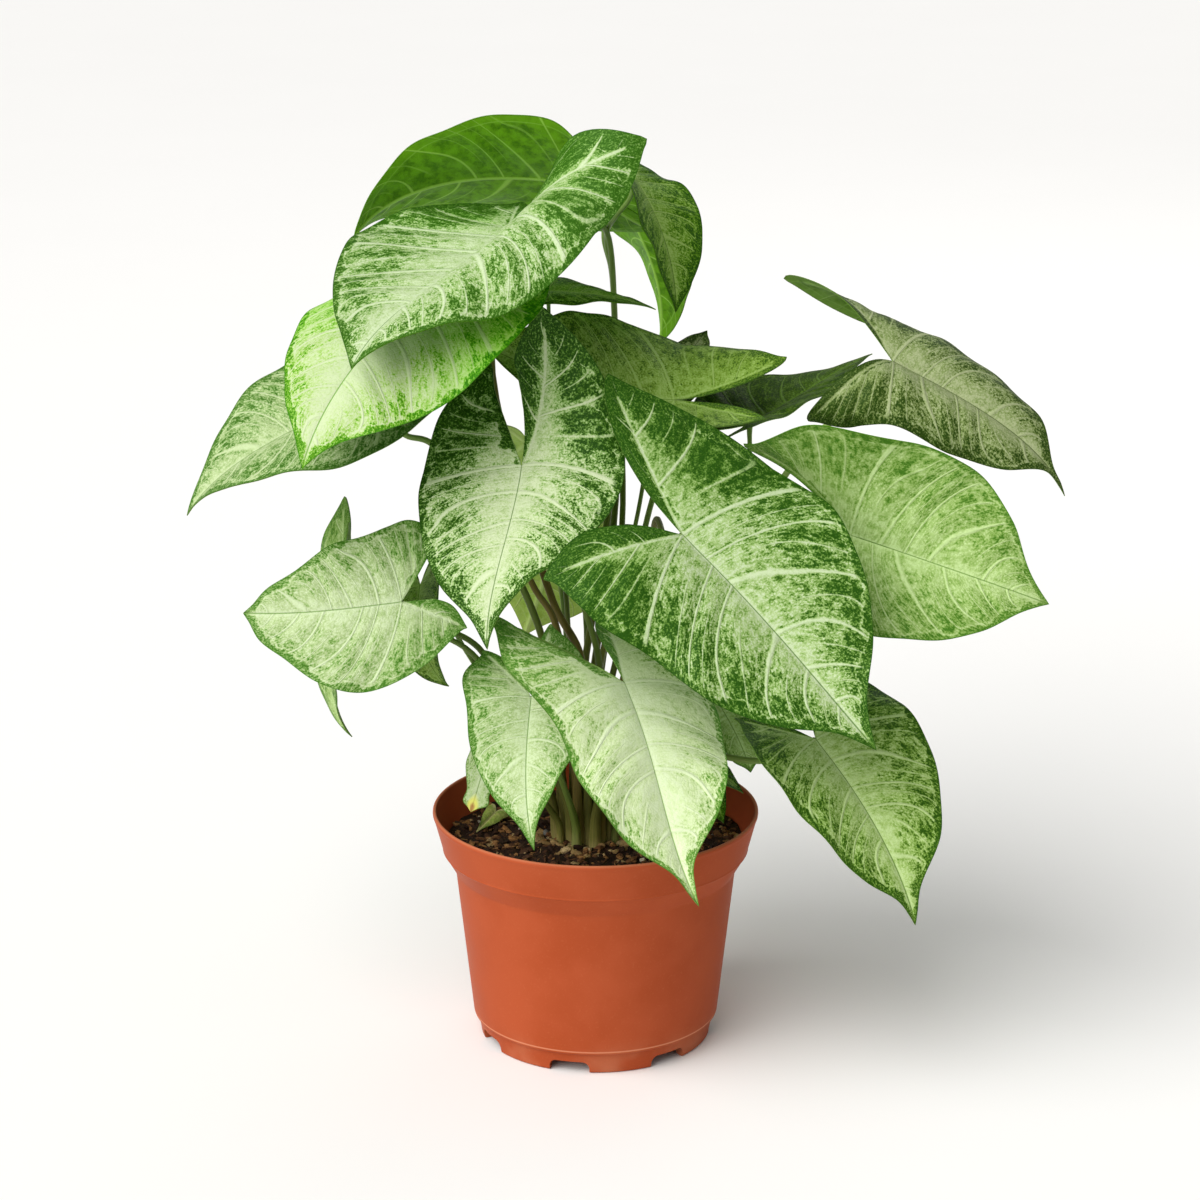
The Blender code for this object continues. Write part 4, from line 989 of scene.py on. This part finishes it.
# Stalks: they stand in rings on the crown, sheathe each other at the foot and taper upwards
stalkBuild = {
    "crownCentre": (-0.004, 0.0),
    "rings": (0, 0.0049, 0.0097, 0.0142),
    "thinnestFoot": 0.0011,  # radius at the foot: this and a share of the blade's length
    "footShare": 0.0085,
    "thinnestTip": 0.0007,
    "tipShare": 0.0045,
    "taper": 1.2,
    "flare": 0.45,  # how much wider the sheath is at the very foot
    "flareHeight": 0.022,
    "knee": 0.35,  # swelling under the blade
    "kneeLength": 0.004,
    "ridges": (0.07, 0.03),  # two blunt ridges and five fine ones, so that it isn't quite round
    "footRise": (0.12, 0.03),  # first bend: share of the height straight up, and towards the blade
    "uprightness": 0.7,  # how squarely the stalk meets the blade
    "sides": 14,
    "stepsPerMark": 9,
}


def stalkRadius(leaf, share):  # share is 0 at the foot, 1 at the blade
    foot = stalkBuild["thinnestFoot"] + stalkBuild["footShare"] * leaf["length"]
    tip = stalkBuild["thinnestTip"] + stalkBuild["tipShare"] * leaf["length"]
    return tip + (foot - tip) * (1 - share) ** stalkBuild["taper"]


def stalkLine(leaf, crownTop):
    up = bladeAxes(leaf)[2]
    ring, degrees = leaf["foot"]
    angle = math.radians(degrees)
    x, y = stalkBuild["crownCentre"]
    reach = stalkBuild["rings"][ring]
    foot = np.array([x + reach * math.cos(angle), y + reach * math.sin(angle), crownTop])
    joint = np.array(leaf["at"])
    rise = joint - foot
    height = np.linalg.norm(rise)
    arrive = rise / height + stalkBuild["uprightness"] * up
    arrive /= np.linalg.norm(arrive)
    slant = math.sqrt(max(0.0, 1 - float(arrive @ up) ** 2))
    end = joint - up * stalkRadius(leaf, 1) * slant  # just clear of the blade
    straight, lean = stalkBuild["footRise"]
    marks = [foot, foot + np.array([0, 0, straight * height]) + lean * rise]
    marks += [np.array(mark) for mark in leaf["via"]]
    marks += [end - leaf["neck"] * height * arrive, end]
    return smoothThrough(marks, stalkBuild["stepsPerMark"])


def makeStalk(name, leaf, material, crownTop, seed):
    line = stalkLine(leaf, crownTop)
    run = lengthAlong(line)
    sides = stalkBuild["sides"]
    blunt, fine = stalkBuild["ridges"]
    count = len(line)
    points = []
    faces = []
    around = []
    across = np.array([1.0, 0.0, 0.0])
    offset = random.Random(seed).uniform(0, 4)
    for index, centre in enumerate(line):
        direction = line[min(index + 1, count - 1)] - line[max(index - 1, 0)]
        if index == 0:
            direction = np.array([0.0, 0.0, 1.0])
        direction /= np.linalg.norm(direction)
        across = across - direction * (across @ direction)
        across /= np.linalg.norm(across)
        other = np.cross(direction, across)
        radius = stalkRadius(leaf, index / (count - 1))
        radius *= 1 + stalkBuild["flare"] * math.exp(-((run[index] / stalkBuild["flareHeight"]) ** 2))
        left = run[-1] - run[index]
        radius *= 1 + stalkBuild["knee"] * math.exp(-((left / stalkBuild["kneeLength"]) ** 2))
        for side in range(sides):
            angle = math.tau * side / sides
            ridge = 1 + blunt * math.cos(2 * angle + offset) + fine * math.cos(5 * angle)
            points.append(centre + radius * ridge * (math.cos(angle) * across + math.sin(angle) * other))
    for index in range(count - 1):
        for side in range(sides):
            after = (side + 1) % sides
            low = index * sides
            faces.append((low + side, low + after, low + after + sides, low + side + sides))
            for turn, step in ((side, index), (side + 1, index), (side + 1, index + 1), (side, index + 1)):
                around.append((turn / sides + offset, run[step] / run[-1]))
    faces += [tuple(reversed(range(sides))), tuple(range((count - 1) * sides, count * sides))]
    around += [(offset, 0)] * sides + [(offset, 1)] * sides
    return newMesh(name, points, faces, [material], maps={"along": around}, sharp=60)


# Colours from the sheath at the soil to the blade, and where along the stalk each one is
stalkLooks = {
    "olive": (
        (0.0, (0.4, 0.33, 0.12)), (0.07, (0.24, 0.22, 0.055)),
        (0.45, (0.1, 0.145, 0.02)), (1.0, (0.2, 0.33, 0.075)),
    ),
    "brown": (
        (0.0, (0.38, 0.3, 0.1)), (0.07, (0.24, 0.18, 0.045)),
        (0.45, (0.135, 0.105, 0.02)), (1.0, (0.13, 0.18, 0.03)),
    ),
    "light": (
        (0.0, (0.36, 0.34, 0.12)), (0.15, (0.2, 0.27, 0.05)),
        (0.6, (0.2, 0.31, 0.065)), (1.0, (0.32, 0.45, 0.16)),
    ),
}


def stalkFinish(name, stops):
    stalk = Finish("stalk_" + name, roughness=0.42, specular=0.2)
    along = stalk.parts(stalk.place("along"))[1]
    streaks = stalk.speckle(stalk.place("along", (22.0, 5.0, 1.0)), 1.0, 3.0, 0.6)
    blots = stalk.speckle(stalk.place("along", (5.0, 26.0, 1.0)), 1.0, 2.0)
    place = stalk.timesPlus(stalk.minus(blots, 0.5), 0.12, along)
    shade = stalk.ramp(place, stops)
    shade = stalk.mix(stalk.step(streaks, 0.35, 0.7, 0.0, 0.5), shade, toned(stops[2][1], 0.55))
    shade = stalk.mix(stalk.step(streaks, 0.62, 0.75, 0.0, 0.35), shade, stops[0][1])
    return stalk.done(shade, stalk.step(streaks, 0.3, 0.7, 0.33, 0.5), streaks, 0.00025, 0.5)


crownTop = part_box("crown")[1].z
stalkFinishes = {name: stalkFinish(name, stops) for name, stops in stalkLooks.items()}
for number, (name, leaf) in enumerate(blades.items()):
    piece = makeStalk("petiole_" + name, leaf, stalkFinishes[leaf["stalk"]], crownTop, number)
    fit(piece, "stalk", "stalk_" + name)
print("stalks ready")


# Pot: outlines are (radius, height), rounded where they turn
potShape = {
    "rim": 0.0762,
    "height": 0.111,
    "wall": 0.0016,
    "band": 0.019,  # the collar below the rim
    "bandStep": 0.006,  # how far it stands out
    "bandSlope": 0.0095,  # height of the shoulder under it
    "lip": 0.003,
    "bodyTop": 0.0657,
    "bodyFoot": 0.0576,
    "footLine": 0.011,
    "seamHighlight": 0.0118,  # a painted highlight along the seam, a paler line round the pot just above the foot
    "foot": 0.0543,
    "footRing": 0.0042,
    "baseRise": 0.0025,
    "notches": 7,
    "notchWidth": 0.019,
    "notchHeight": 0.0056,
    "notchCorner": 0.62,  # radius of the arch's corners, share of its height
    "notchDepth": (0.004, 0.006),  # how far the cut runs past the ring, inside and outside
    "notchDrop": 0.002,  # and below it
    "firstNotch": -103.0,  # degrees from +X, so that one stands left of the front
    "turns": 192,
    "corner": 0.0011,  # rounding of the outline
    "cornerSteps": 5,
}


def rounded(outline, radius):  # each inner corner becomes a short curve
    line = [outline[0]]
    for before, corner, after in zip(outline, outline[1:], outline[2:]):
        corner = np.array(corner)
        into, out = np.array(before) - corner, np.array(after) - corner
        cut = min(radius, 0.45 * np.linalg.norm(into), 0.45 * np.linalg.norm(out))
        start = corner + into / np.linalg.norm(into) * cut
        end = corner + out / np.linalg.norm(out) * cut
        for t in np.linspace(0, 1, potShape["cornerSteps"]):
            line.append(tuple((1 - t) ** 2 * start + 2 * t * (1 - t) * corner + t**2 * end))
    return line + [outline[-1]]


def lathe(profile, turns, centre=(0.0, 0.0), downwards=False):
    # Points and faces of a turned closed body. A height may be a function of the place. downwards is
    # for a profile that starts at the top.
    points = []
    faces = []
    rings = []
    for radius, height in profile:
        count = turns if radius > 1e-7 else 1
        rings.append([len(points) + step % count for step in range(turns)])
        for step in range(count):
            angle = math.tau * step / turns
            x = centre[0] + radius * math.cos(angle)
            y = centre[1] + radius * math.sin(angle)
            points.append((x, y, height(x, y) if callable(height) else height))
    for ring, above in zip(rings, rings[1:]):
        for step in range(turns):
            after = (step + 1) % turns
            face = [ring[step], ring[after], above[after], above[step]]
            if downwards:
                face[1:] = reversed(face[1:])
            faces.append(tuple(dict.fromkeys(face)))
    return points, faces


def potOutline():
    names = ("rim", "height", "wall", "lip", "bodyTop", "bodyFoot", "footLine", "foot", "baseRise")
    rim, top, wall, lip, bodyTop, bodyFoot, footLine, foot, baseRise = (potShape[name] for name in names)
    bandFoot = top - potShape["band"]
    shoulder = bandFoot - potShape["bandSlope"]
    bandSide = bodyTop + potShape["bandStep"]
    outside = [
        (foot - 0.0006, 0.0),
        (foot, 0.0006),
        (foot + 0.0014, footLine - 0.0012),
        (bodyFoot, footLine - 0.0004),
        (bodyFoot + 0.0002, footLine + 0.0004),
        (bodyTop, shoulder),
        (bandSide - 0.0006, bandFoot - 0.0003),
        (bandSide + 0.0001, bandFoot + 0.0004),
        (bandSide, bandFoot + 0.0012),
        (rim - 0.0006, top - lip),
        (rim, top - 0.0016),
        (rim - 0.0001, top - 0.0005),
        (rim - 0.0007, top),
    ]
    inside = [
        (rim - 0.0016, top - 0.0002),
        (rim - 0.0022, top - lip),
        (bandSide - wall, bandFoot + 0.0010),
        (bandSide - 0.0010 - wall, bandFoot - 0.0020),
        (bodyTop - wall, shoulder - 0.0007),
        (bodyFoot + 0.0002 - wall, footLine + 0.0006),
        (bodyFoot - 0.0012 - wall, footLine - 0.0040),
        (bodyFoot - 0.0042 - wall, baseRise + wall),
    ]
    ringInside = foot - potShape["footRing"]
    under = [(0, baseRise), (ringInside - 0.0010, baseRise), (ringInside, 0.0)]
    return rounded(under + outside + inside + [(0, baseRise + wall)], potShape["corner"]), inside


def notchTool(turn):  # an arch-shaped opening through the foot ring
    half = potShape["notchWidth"] / 2
    high = potShape["notchHeight"]
    corner = high * potShape["notchCorner"]
    drop = potShape["notchDrop"]
    arch = [(-half, -drop), (half, -drop)]
    for sign, first in ((1, 0), (-1, 90)):
        for degrees in range(first, first + 91, 10):
            angle = math.radians(degrees)
            across = sign * (half - corner) + corner * math.cos(angle)
            arch.append((across, high - corner + corner * math.sin(angle)))
    inwards, outwards = potShape["notchDepth"]
    points = []
    for radius in (potShape["foot"] - potShape["footRing"] - inwards, potShape["foot"] + outwards):
        for across, height in arch:
            x = radius * math.cos(turn) - across * math.sin(turn)
            y = radius * math.sin(turn) + across * math.cos(turn)
            points.append((x, y, height))
    count = len(arch)
    faces = [tuple(reversed(range(count))), tuple(range(count, 2 * count))]
    for step in range(count):
        after = (step + 1) % count
        faces.append((step, after, after + count, step + count))
    tool = newMesh("notchTool", points, faces, [])
    shape = bmesh.new()
    shape.from_mesh(tool.data)
    bmesh.ops.recalc_face_normals(shape, faces=shape.faces)
    shape.to_mesh(tool.data)
    shape.free()
    return tool


def cutAway(piece, tools):  # exact cuts, applied, and the tools removed
    for tool in tools:
        cut = piece.modifiers.new(tool.name, "BOOLEAN")
        cut.operation = "DIFFERENCE"
        cut.solver = "EXACT"
        cut.object = tool
    whole = piece.evaluated_get(bpy.context.evaluated_depsgraph_get())
    cutMesh = bpy.data.meshes.new_from_object(whole)
    piece.modifiers.clear()
    piece.data = cutMesh
    for tool in tools:
        bpy.data.objects.remove(tool, do_unlink=True)
    cutMesh.shade_smooth()
    cutMesh.set_sharp_from_angle(angle=math.radians(40))


potLook = {
    "plastic": ((0.37, 0.068, 0.022), (0.41, 0.081, 0.029)),
    "fleck": (0.47, 0.125, 0.05),
    "dust": (0.5, 0.22, 0.12),  # on the foot
    "rimHighlight": (0.62, 0.26, 0.14),
    "seamHighlight": (0.66, 0.27, 0.15),
    "grain": 900.0,  # flecks to the metre
    "turning": 420.0,  # fine rings left by the mould
}


def potFinish():
    pot = Finish("terracottaPlastic", roughness=0.42, specular=0.035)
    place = pot.place("solid")
    mottle = pot.speckle(place, 34.0, 3.0, 0.55)
    fine = pot.speckle(place, potLook["grain"], 2.0, 0.6)
    turning = pot.speckle(pot.place("solid", (3.0, 3.0, potLook["turning"])), 1.0)
    up = pot.parts(place)[2]
    top = potShape["height"]
    shade = pot.mix(pot.step(mottle, 0.3, 0.7), *potLook["plastic"])
    shade = pot.mix(pot.step(fine, 0.55, 0.75, 0.0, 0.25), shade, potLook["fleck"])
    dust = pot.times(pot.step(up, 0.02, 0.0), pot.step(mottle, 0.4, 0.65, 0.0, 0.35))
    shade = pot.mix(dust, shade, potLook["dust"])
    # Painted highlight: a paler top edge along the rim
    shade = pot.mix(pot.step(up, top - 0.0012, top, 0.0, 0.4), shade, potLook["rimHighlight"])
    # Painted highlight on the seam just above the foot: a thin paler line
    offSeamHighlight = pot.maths("ABSOLUTE", pot.minus(up, potShape["seamHighlight"]))
    shade = pot.mix(pot.step(offSeamHighlight, 0.0005, 0.0002, 0.0, 0.65), shade, potLook["seamHighlight"])
    gloss = pot.step(pot.timesPlus(fine, 0.4, mottle), 0.4, 1.0, 0.34, 0.52)
    return pot.done(shade, gloss, pot.timesPlus(turning, 0.6, fine), 0.00006, 0.5)


outline, insideWall = potOutline()
pot = newMesh("nurseryPot", *lathe(outline, potShape["turns"]), [potFinish()])
notches = range(potShape["notches"])
turns = [math.radians(potShape["firstNotch"] + 360 * index / len(notches)) for index in notches]
cutAway(pot, [notchTool(turn) for turn in turns])
fit(pot, "pot", "pot")
print("pot ready")


# Soil: an uneven surface, with bark, coir and perlite lying on it
soilBuild = {
    "level": 0.0945,
    "mound": 0.0015,
    "moundReach": 0.055,
    "moundSlope": 0.04,
    "gap": 0.0003,  # to the pot's wall
    "relief": 0.0022,
    "lumps": 95,  # unevenness: coarse and fine lumps to the metre
    "crumbs": 520,
    "calmReach": 0.0725,  # it is calmer by the wall
    "calmWidth": 0.006,
    "rings": 46,
    "turns": 150,
}

# What lies on it. sizes are three half sizes, each between its least and greatest. square runs from
# 1, round, to 0, a box. lift is how far a lump stands proud, and reach how near to centre and how far
# from it a lump may lie.
usualLumps = dict(look="bark", lift=0.3, reach=(0.0145, 0.0702), centre=(0.0, 0.0))
lumpGrowth = {"least": 0.45, "power": 1.6}  # small lumps outnumber large ones
litter = {
    "soilBark": dict(
        count=1500, sizes=((0.001, 0.0036), (0.0007, 0.0023), (0.0005, 0.0014)), tilt=0.6, rough=0.12,
        square=0.75, seed=11,
    ),
    "soilFibres": dict(
        count=220, sizes=((0.003, 0.0065), (0.0003, 0.0006), (0.0003, 0.0005)), tilt=0.25, rough=0.08,
        square=0.9, seed=12, lift=1.4,
    ),
    "soilPerlite": dict(
        count=46, sizes=((0.0008, 0.0019), (0.0008, 0.0016), (0.0006, 0.0013)), tilt=0.8, rough=0.1,
        square=0.85, seed=13, look="perlite",
    ),
    "soilSlivers": dict(
        count=90, sizes=((0.003, 0.006), (0.0011, 0.0022), (0.0007, 0.0013)), tilt=0.35, rough=0.1,
        square=0.7, seed=15,
    ),
    "soilPebble": dict(
        count=1, sizes=((0.004, 0.004),) * 3, tilt=0.6, rough=0.09, square=0.9, seed=16, look="pebble",
        lift=0.5, reach=(0.0, 0.005), centre=(-0.0225, 0.006),
    ),
}
litterLooks = {
    "bark": dict(name="barkAndCoir", roughness=0.85, stops=(
        (0.0, (0.03, 0.013, 0.007)), (0.22, (0.09, 0.036, 0.014)), (0.46, (0.19, 0.08, 0.027)),
        (0.68, (0.36, 0.17, 0.055)), (0.84, (0.47, 0.24, 0.085)), (0.94, (0.58, 0.39, 0.18)),
    )),
    "perlite": dict(name="perliteAndGrit", roughness=0.9, stops=(
        (0.0, (0.5, 0.4, 0.26)), (0.35, (0.58, 0.5, 0.38)), (0.75, (0.42, 0.4, 0.37)),
    )),
    "pebble": dict(name="greyLump", roughness=0.95, stops=(
        (0.0, (0.2, 0.19, 0.17)), (0.5, (0.3, 0.29, 0.27)), (0.9, (0.16, 0.15, 0.13)),
    )),
    "collar": dict(name="paleBark", roughness=0.85, stops=(
        (0.0, (0.45, 0.29, 0.12)), (0.4, (0.31, 0.18, 0.07)), (0.7, (0.57, 0.42, 0.21)),
    )),
}


def soilHeight(x, y):
    build = soilBuild
    reach = math.hypot(x, y)
    mound = build["mound"] * softStep(build["moundReach"] - reach, 0.0, build["moundSlope"])
    lumps = noise.fractal(Vector((x * build["lumps"], y * build["lumps"], 3.0)), 1.0, 2.0, 4)
    crumbs = noise.noise(Vector((x * build["crumbs"], y * build["crumbs"], 8.0)))
    free = softStep(build["calmReach"] - reach, 0.0, build["calmWidth"])
    return build["level"] + mound + build["relief"] * (lumps * (0.35 + 0.65 * free) + 0.28 * crumbs)


def makeSoil(inside, material):
    gap, level = soilBuild["gap"], soilBuild["level"]
    above, low = inside[1:3]  # the wall's points above and below the surface
    brim = low[0] + (above[0] - low[0]) * (level - low[1]) / (above[1] - low[1]) - gap
    profile = [(brim * share, soilHeight) for share in np.linspace(0, 1, soilBuild["rings"])]
    profile += [(radius - gap, height) for radius, height in inside if height < level]
    profile.append((0.0, inside[-1][1]))
    points, faces = lathe(profile, soilBuild["turns"], downwards=True)
    return newMesh("soilSurface", points, faces, [material], sharp=70)


def unitBall():
    ball = bmesh.new()
    bmesh.ops.create_icosphere(ball, subdivisions=2, radius=1.0)
    points = np.array([vertex.co[:] for vertex in ball.verts])
    faces = [[vertex.index for vertex in face.verts] for face in ball.faces]
    ball.free()
    return points, faces


def turnAbout(axis, angle):  # axis 0, 1 or 2
    first, second = (axis + 1) % 3, (axis + 2) % 3
    turn = np.eye(3)
    turn[first, first] = turn[second, second] = math.cos(angle)
    turn[second, first] = math.sin(angle)
    turn[first, second] = -math.sin(angle)
    return turn


def scatter(name, count, sizes, tilt, rough, square, seed, look, lift, reach, centre):
    # Broken lumps of random size and turn, laid on the soil. Each keeps a tone of its own.
    chance = random.Random(seed)
    numbers = np.random.default_rng(seed)
    ball, ballFaces = unitBall()
    nearest, furthest = reach
    points = []
    faces = []
    tones = []
    for _ in range(count):
        grow = chance.uniform(lumpGrowth["least"], 1.0) ** lumpGrowth["power"]
        size = np.array([chance.uniform(*pair) for pair in sizes]) * grow
        away = math.sqrt(chance.uniform(nearest**2, (furthest - max(size)) ** 2))  # clear of the wall
        angle = chance.uniform(0, math.tau)
        x = centre[0] + away * math.cos(angle)
        y = centre[1] + away * math.sin(angle)
        shape = np.sign(ball) * np.abs(ball) ** square
        shape = shape * (1 + rough * numbers.standard_normal((len(ball), 1)))
        turn = turnAbout(2, chance.uniform(0, math.tau))
        for axis in (1, 0):
            turn = turn @ turnAbout(axis, chance.uniform(-tilt, tilt))
        shape = (shape * size) @ turn.T
        first = len(points)
        points += list(shape + np.array([x, y, soilHeight(x, y) + lift * size[2]]))
        faces += [tuple(corner + first for corner in face) for face in ballFaces]
        tones += [(chance.random(), chance.random())] * (3 * len(ballFaces))
    return newMesh(name, points, faces, [litterFinishes[look]], maps={"tone": tones}, sharp=25)


def earthFinish():
    earth = Finish("pottingMix", roughness=0.95, specular=0.15)
    place = earth.place("solid")
    crumbs = earth.speckle(place, 620.0, 3.0, 0.7)
    lumps = earth.speckle(place, 120.0)
    shade = earth.ramp(crumbs, (
        (0.3, (0.009, 0.005, 0.003)), (0.5, (0.03, 0.014, 0.008)),
        (0.62, (0.065, 0.03, 0.016)), (0.75, (0.16, 0.085, 0.04)),
    ))
    shade = earth.mix(earth.step(lumps, 0.4, 0.7, 0.0, 0.6), shade, (0.016, 0.008, 0.005))
    return earth.done(shade, earth.step(crumbs, 0.3, 0.7, 0.8, 1.0), crumbs, 0.0011)


def litterFinish(name, roughness, stops):
    lump = Finish(name, roughness=roughness, specular=0.25)
    tone, second, _ = lump.parts(lump.place("tone"))
    grain = lump.speckle(lump.place("solid", (1.0, 1.0, 2.2)), 900.0, 2.0, 0.6)
    shade = lump.ramp(tone, stops, "CONSTANT")
    shade = lump.mix(lump.step(grain, 0.35, 0.7, 0.0, 0.65), shade, toned(stops[1][1], 0.4))
    shade = lump.mix(lump.times(second, 0.35), shade, stops[0][1])
    return lump.done(shade, lump.step(grain, 0.3, 0.7, roughness - 0.15, 1.0), grain, 0.0004, 0.8)


fit(makeSoil(insideWall, earthFinish()), "soil", "soil")
litterFinishes = {key: litterFinish(**look) for key, look in litterLooks.items()}
for name, lumps in litter.items():
    fit(scatter(name, **{**usualLumps, **lumps}), "soil")
print("soil ready")


# Crown: the short rootstock under the stalks, ringed by chunks of pale bark
crownBuild = {
    "radius": 0.0165,
    "depth": 0.014,
    "turns": 96,
    "bevel": 0.002,
    "rise": 0.003,
    "domeShare": 0.97,  # width of the domed top, share of the radius
    "domeDrop": 0.001,
    "domeSteps": 12,
    "lumps": 0.0008,
    "lumpScale": (330, 150),  # to the metre, across and upwards
    "smoothFoot": 0.006,  # the lumps start this far above its foot
}
collarBuild = dict(
    count=100, sizes=((0.0014, 0.0036), (0.001, 0.0026), (0.0008, 0.0019)), tilt=0.7, rough=0.12,
    square=0.7, seed=14, look="collar", lift=0.5, reach=(0.0158, 0.0262), centre=stalkBuild["crownCentre"],
)


def crownFinish():
    crown = Finish("rootstockBark", roughness=0.85, specular=0.25)
    fibre = crown.speckle(crown.place("solid", (1.0, 1.0, 0.35)), 420.0, 3.0, 0.65)
    shade = crown.ramp(fibre, (
        (0.3, (0.035, 0.02, 0.009)), (0.5, (0.13, 0.09, 0.035)),
        (0.64, (0.26, 0.2, 0.09)), (0.8, (0.42, 0.33, 0.18)),
    ))
    return crown.done(shade, crown.step(fibre, 0.3, 0.7, 0.7, 0.95), fibre, 0.0008, 0.9)


def makeCrown(material):
    foot = soilBuild["level"] - crownBuild["depth"] + soilBuild["gap"]
    radius, bevel, lumps = (crownBuild[key] for key in ("radius", "bevel", "lumps"))
    centre = stalkBuild["crownCentre"]
    profile = [(0, foot), (radius - bevel, foot), (radius, foot + bevel), (radius, crownTop - bevel)]
    for share in np.linspace(1, 0, crownBuild["domeSteps"]):
        rise = crownBuild["rise"] * math.sqrt(max(0.0, 1 - share**2))
        dome = (radius * share * crownBuild["domeShare"], crownTop - crownBuild["domeDrop"] + rise)
        profile.append(dome)
    points, faces = lathe(profile, crownBuild["turns"], centre)
    across, upwards = crownBuild["lumpScale"]
    for index, (x, y, z) in enumerate(points):
        if z > foot + crownBuild["smoothFoot"]:
            spot = Vector((x * across, y * across, z * upwards))
            lump = lumps * noise.fractal(spot, 1.0, 2.0, 3)
            out = Vector((x - centre[0], y, 0.0))
            out = out.normalized() if out.length > 1e-6 else out
            points[index] = (x + out.x * lump, y + out.y * lump, z + lump)
    return newMesh("rootstock", points, faces, [material], sharp=60)


fit(makeCrown(crownFinish()), "crown", "crown")
fit(scatter("crownChunks", **collarBuild), "crown")
print("crown ready")


# The old leaf that has fallen on the soil and dried
shrivelled = {**usualLeaf, **dict(
    at=(-0.0475, 0.024, 0.09955), length=0.019, turn=(-112, -6, 10), width=(0.24, 0.28),
    lobe=(0.34, 0.4), arch=10, droop=10, fold=(40, 25), tipFold=(50, 40), curl=(60, 70), twist=20,
    sweep=15, seed=77,
)}


def driedFinish():
    leaf = Finish("driedLeaf", roughness=0.7, specular=0.3)
    flat = leaf.place("flat")
    rib, edge, _ = leaf.parts(leaf.place("reach"))
    cloud = leaf.speckle(flat, 180.0, 3.0, 0.6)
    grain = leaf.speckle(flat, 900.0, 2.0, 0.6)
    shade = leaf.ramp(cloud, (
        (0.3, (0.16, 0.25, 0.03)), (0.5, (0.34, 0.43, 0.08)), (0.7, (0.46, 0.46, 0.14)),
    ))
    shade = leaf.mix(leaf.step(edge, 0.003, 0.0, 0.0, 0.7), shade, (0.07, 0.12, 0.02))
    shade = leaf.mix(leaf.step(rib, 0.0012, 0.0003), shade, (0.5, 0.48, 0.2))
    shade = leaf.mix(leaf.step(grain, 0.5, 0.75, 0.0, 0.4), shade, (0.13, 0.08, 0.03))
    relief = leaf.timesPlus(cloud, 2.0, grain)
    return leaf.done(shade, leaf.step(grain, 0.3, 0.7, 0.6, 0.85), relief, 0.0008, 0.8)


dried = driedFinish()
piece = makeBlade("shrivelledLeaf", shrivelled, [dried, dried], shrivelled["seed"])
fit(piece, "dried", "shrivelled_leaf")
print("dried leaf ready")
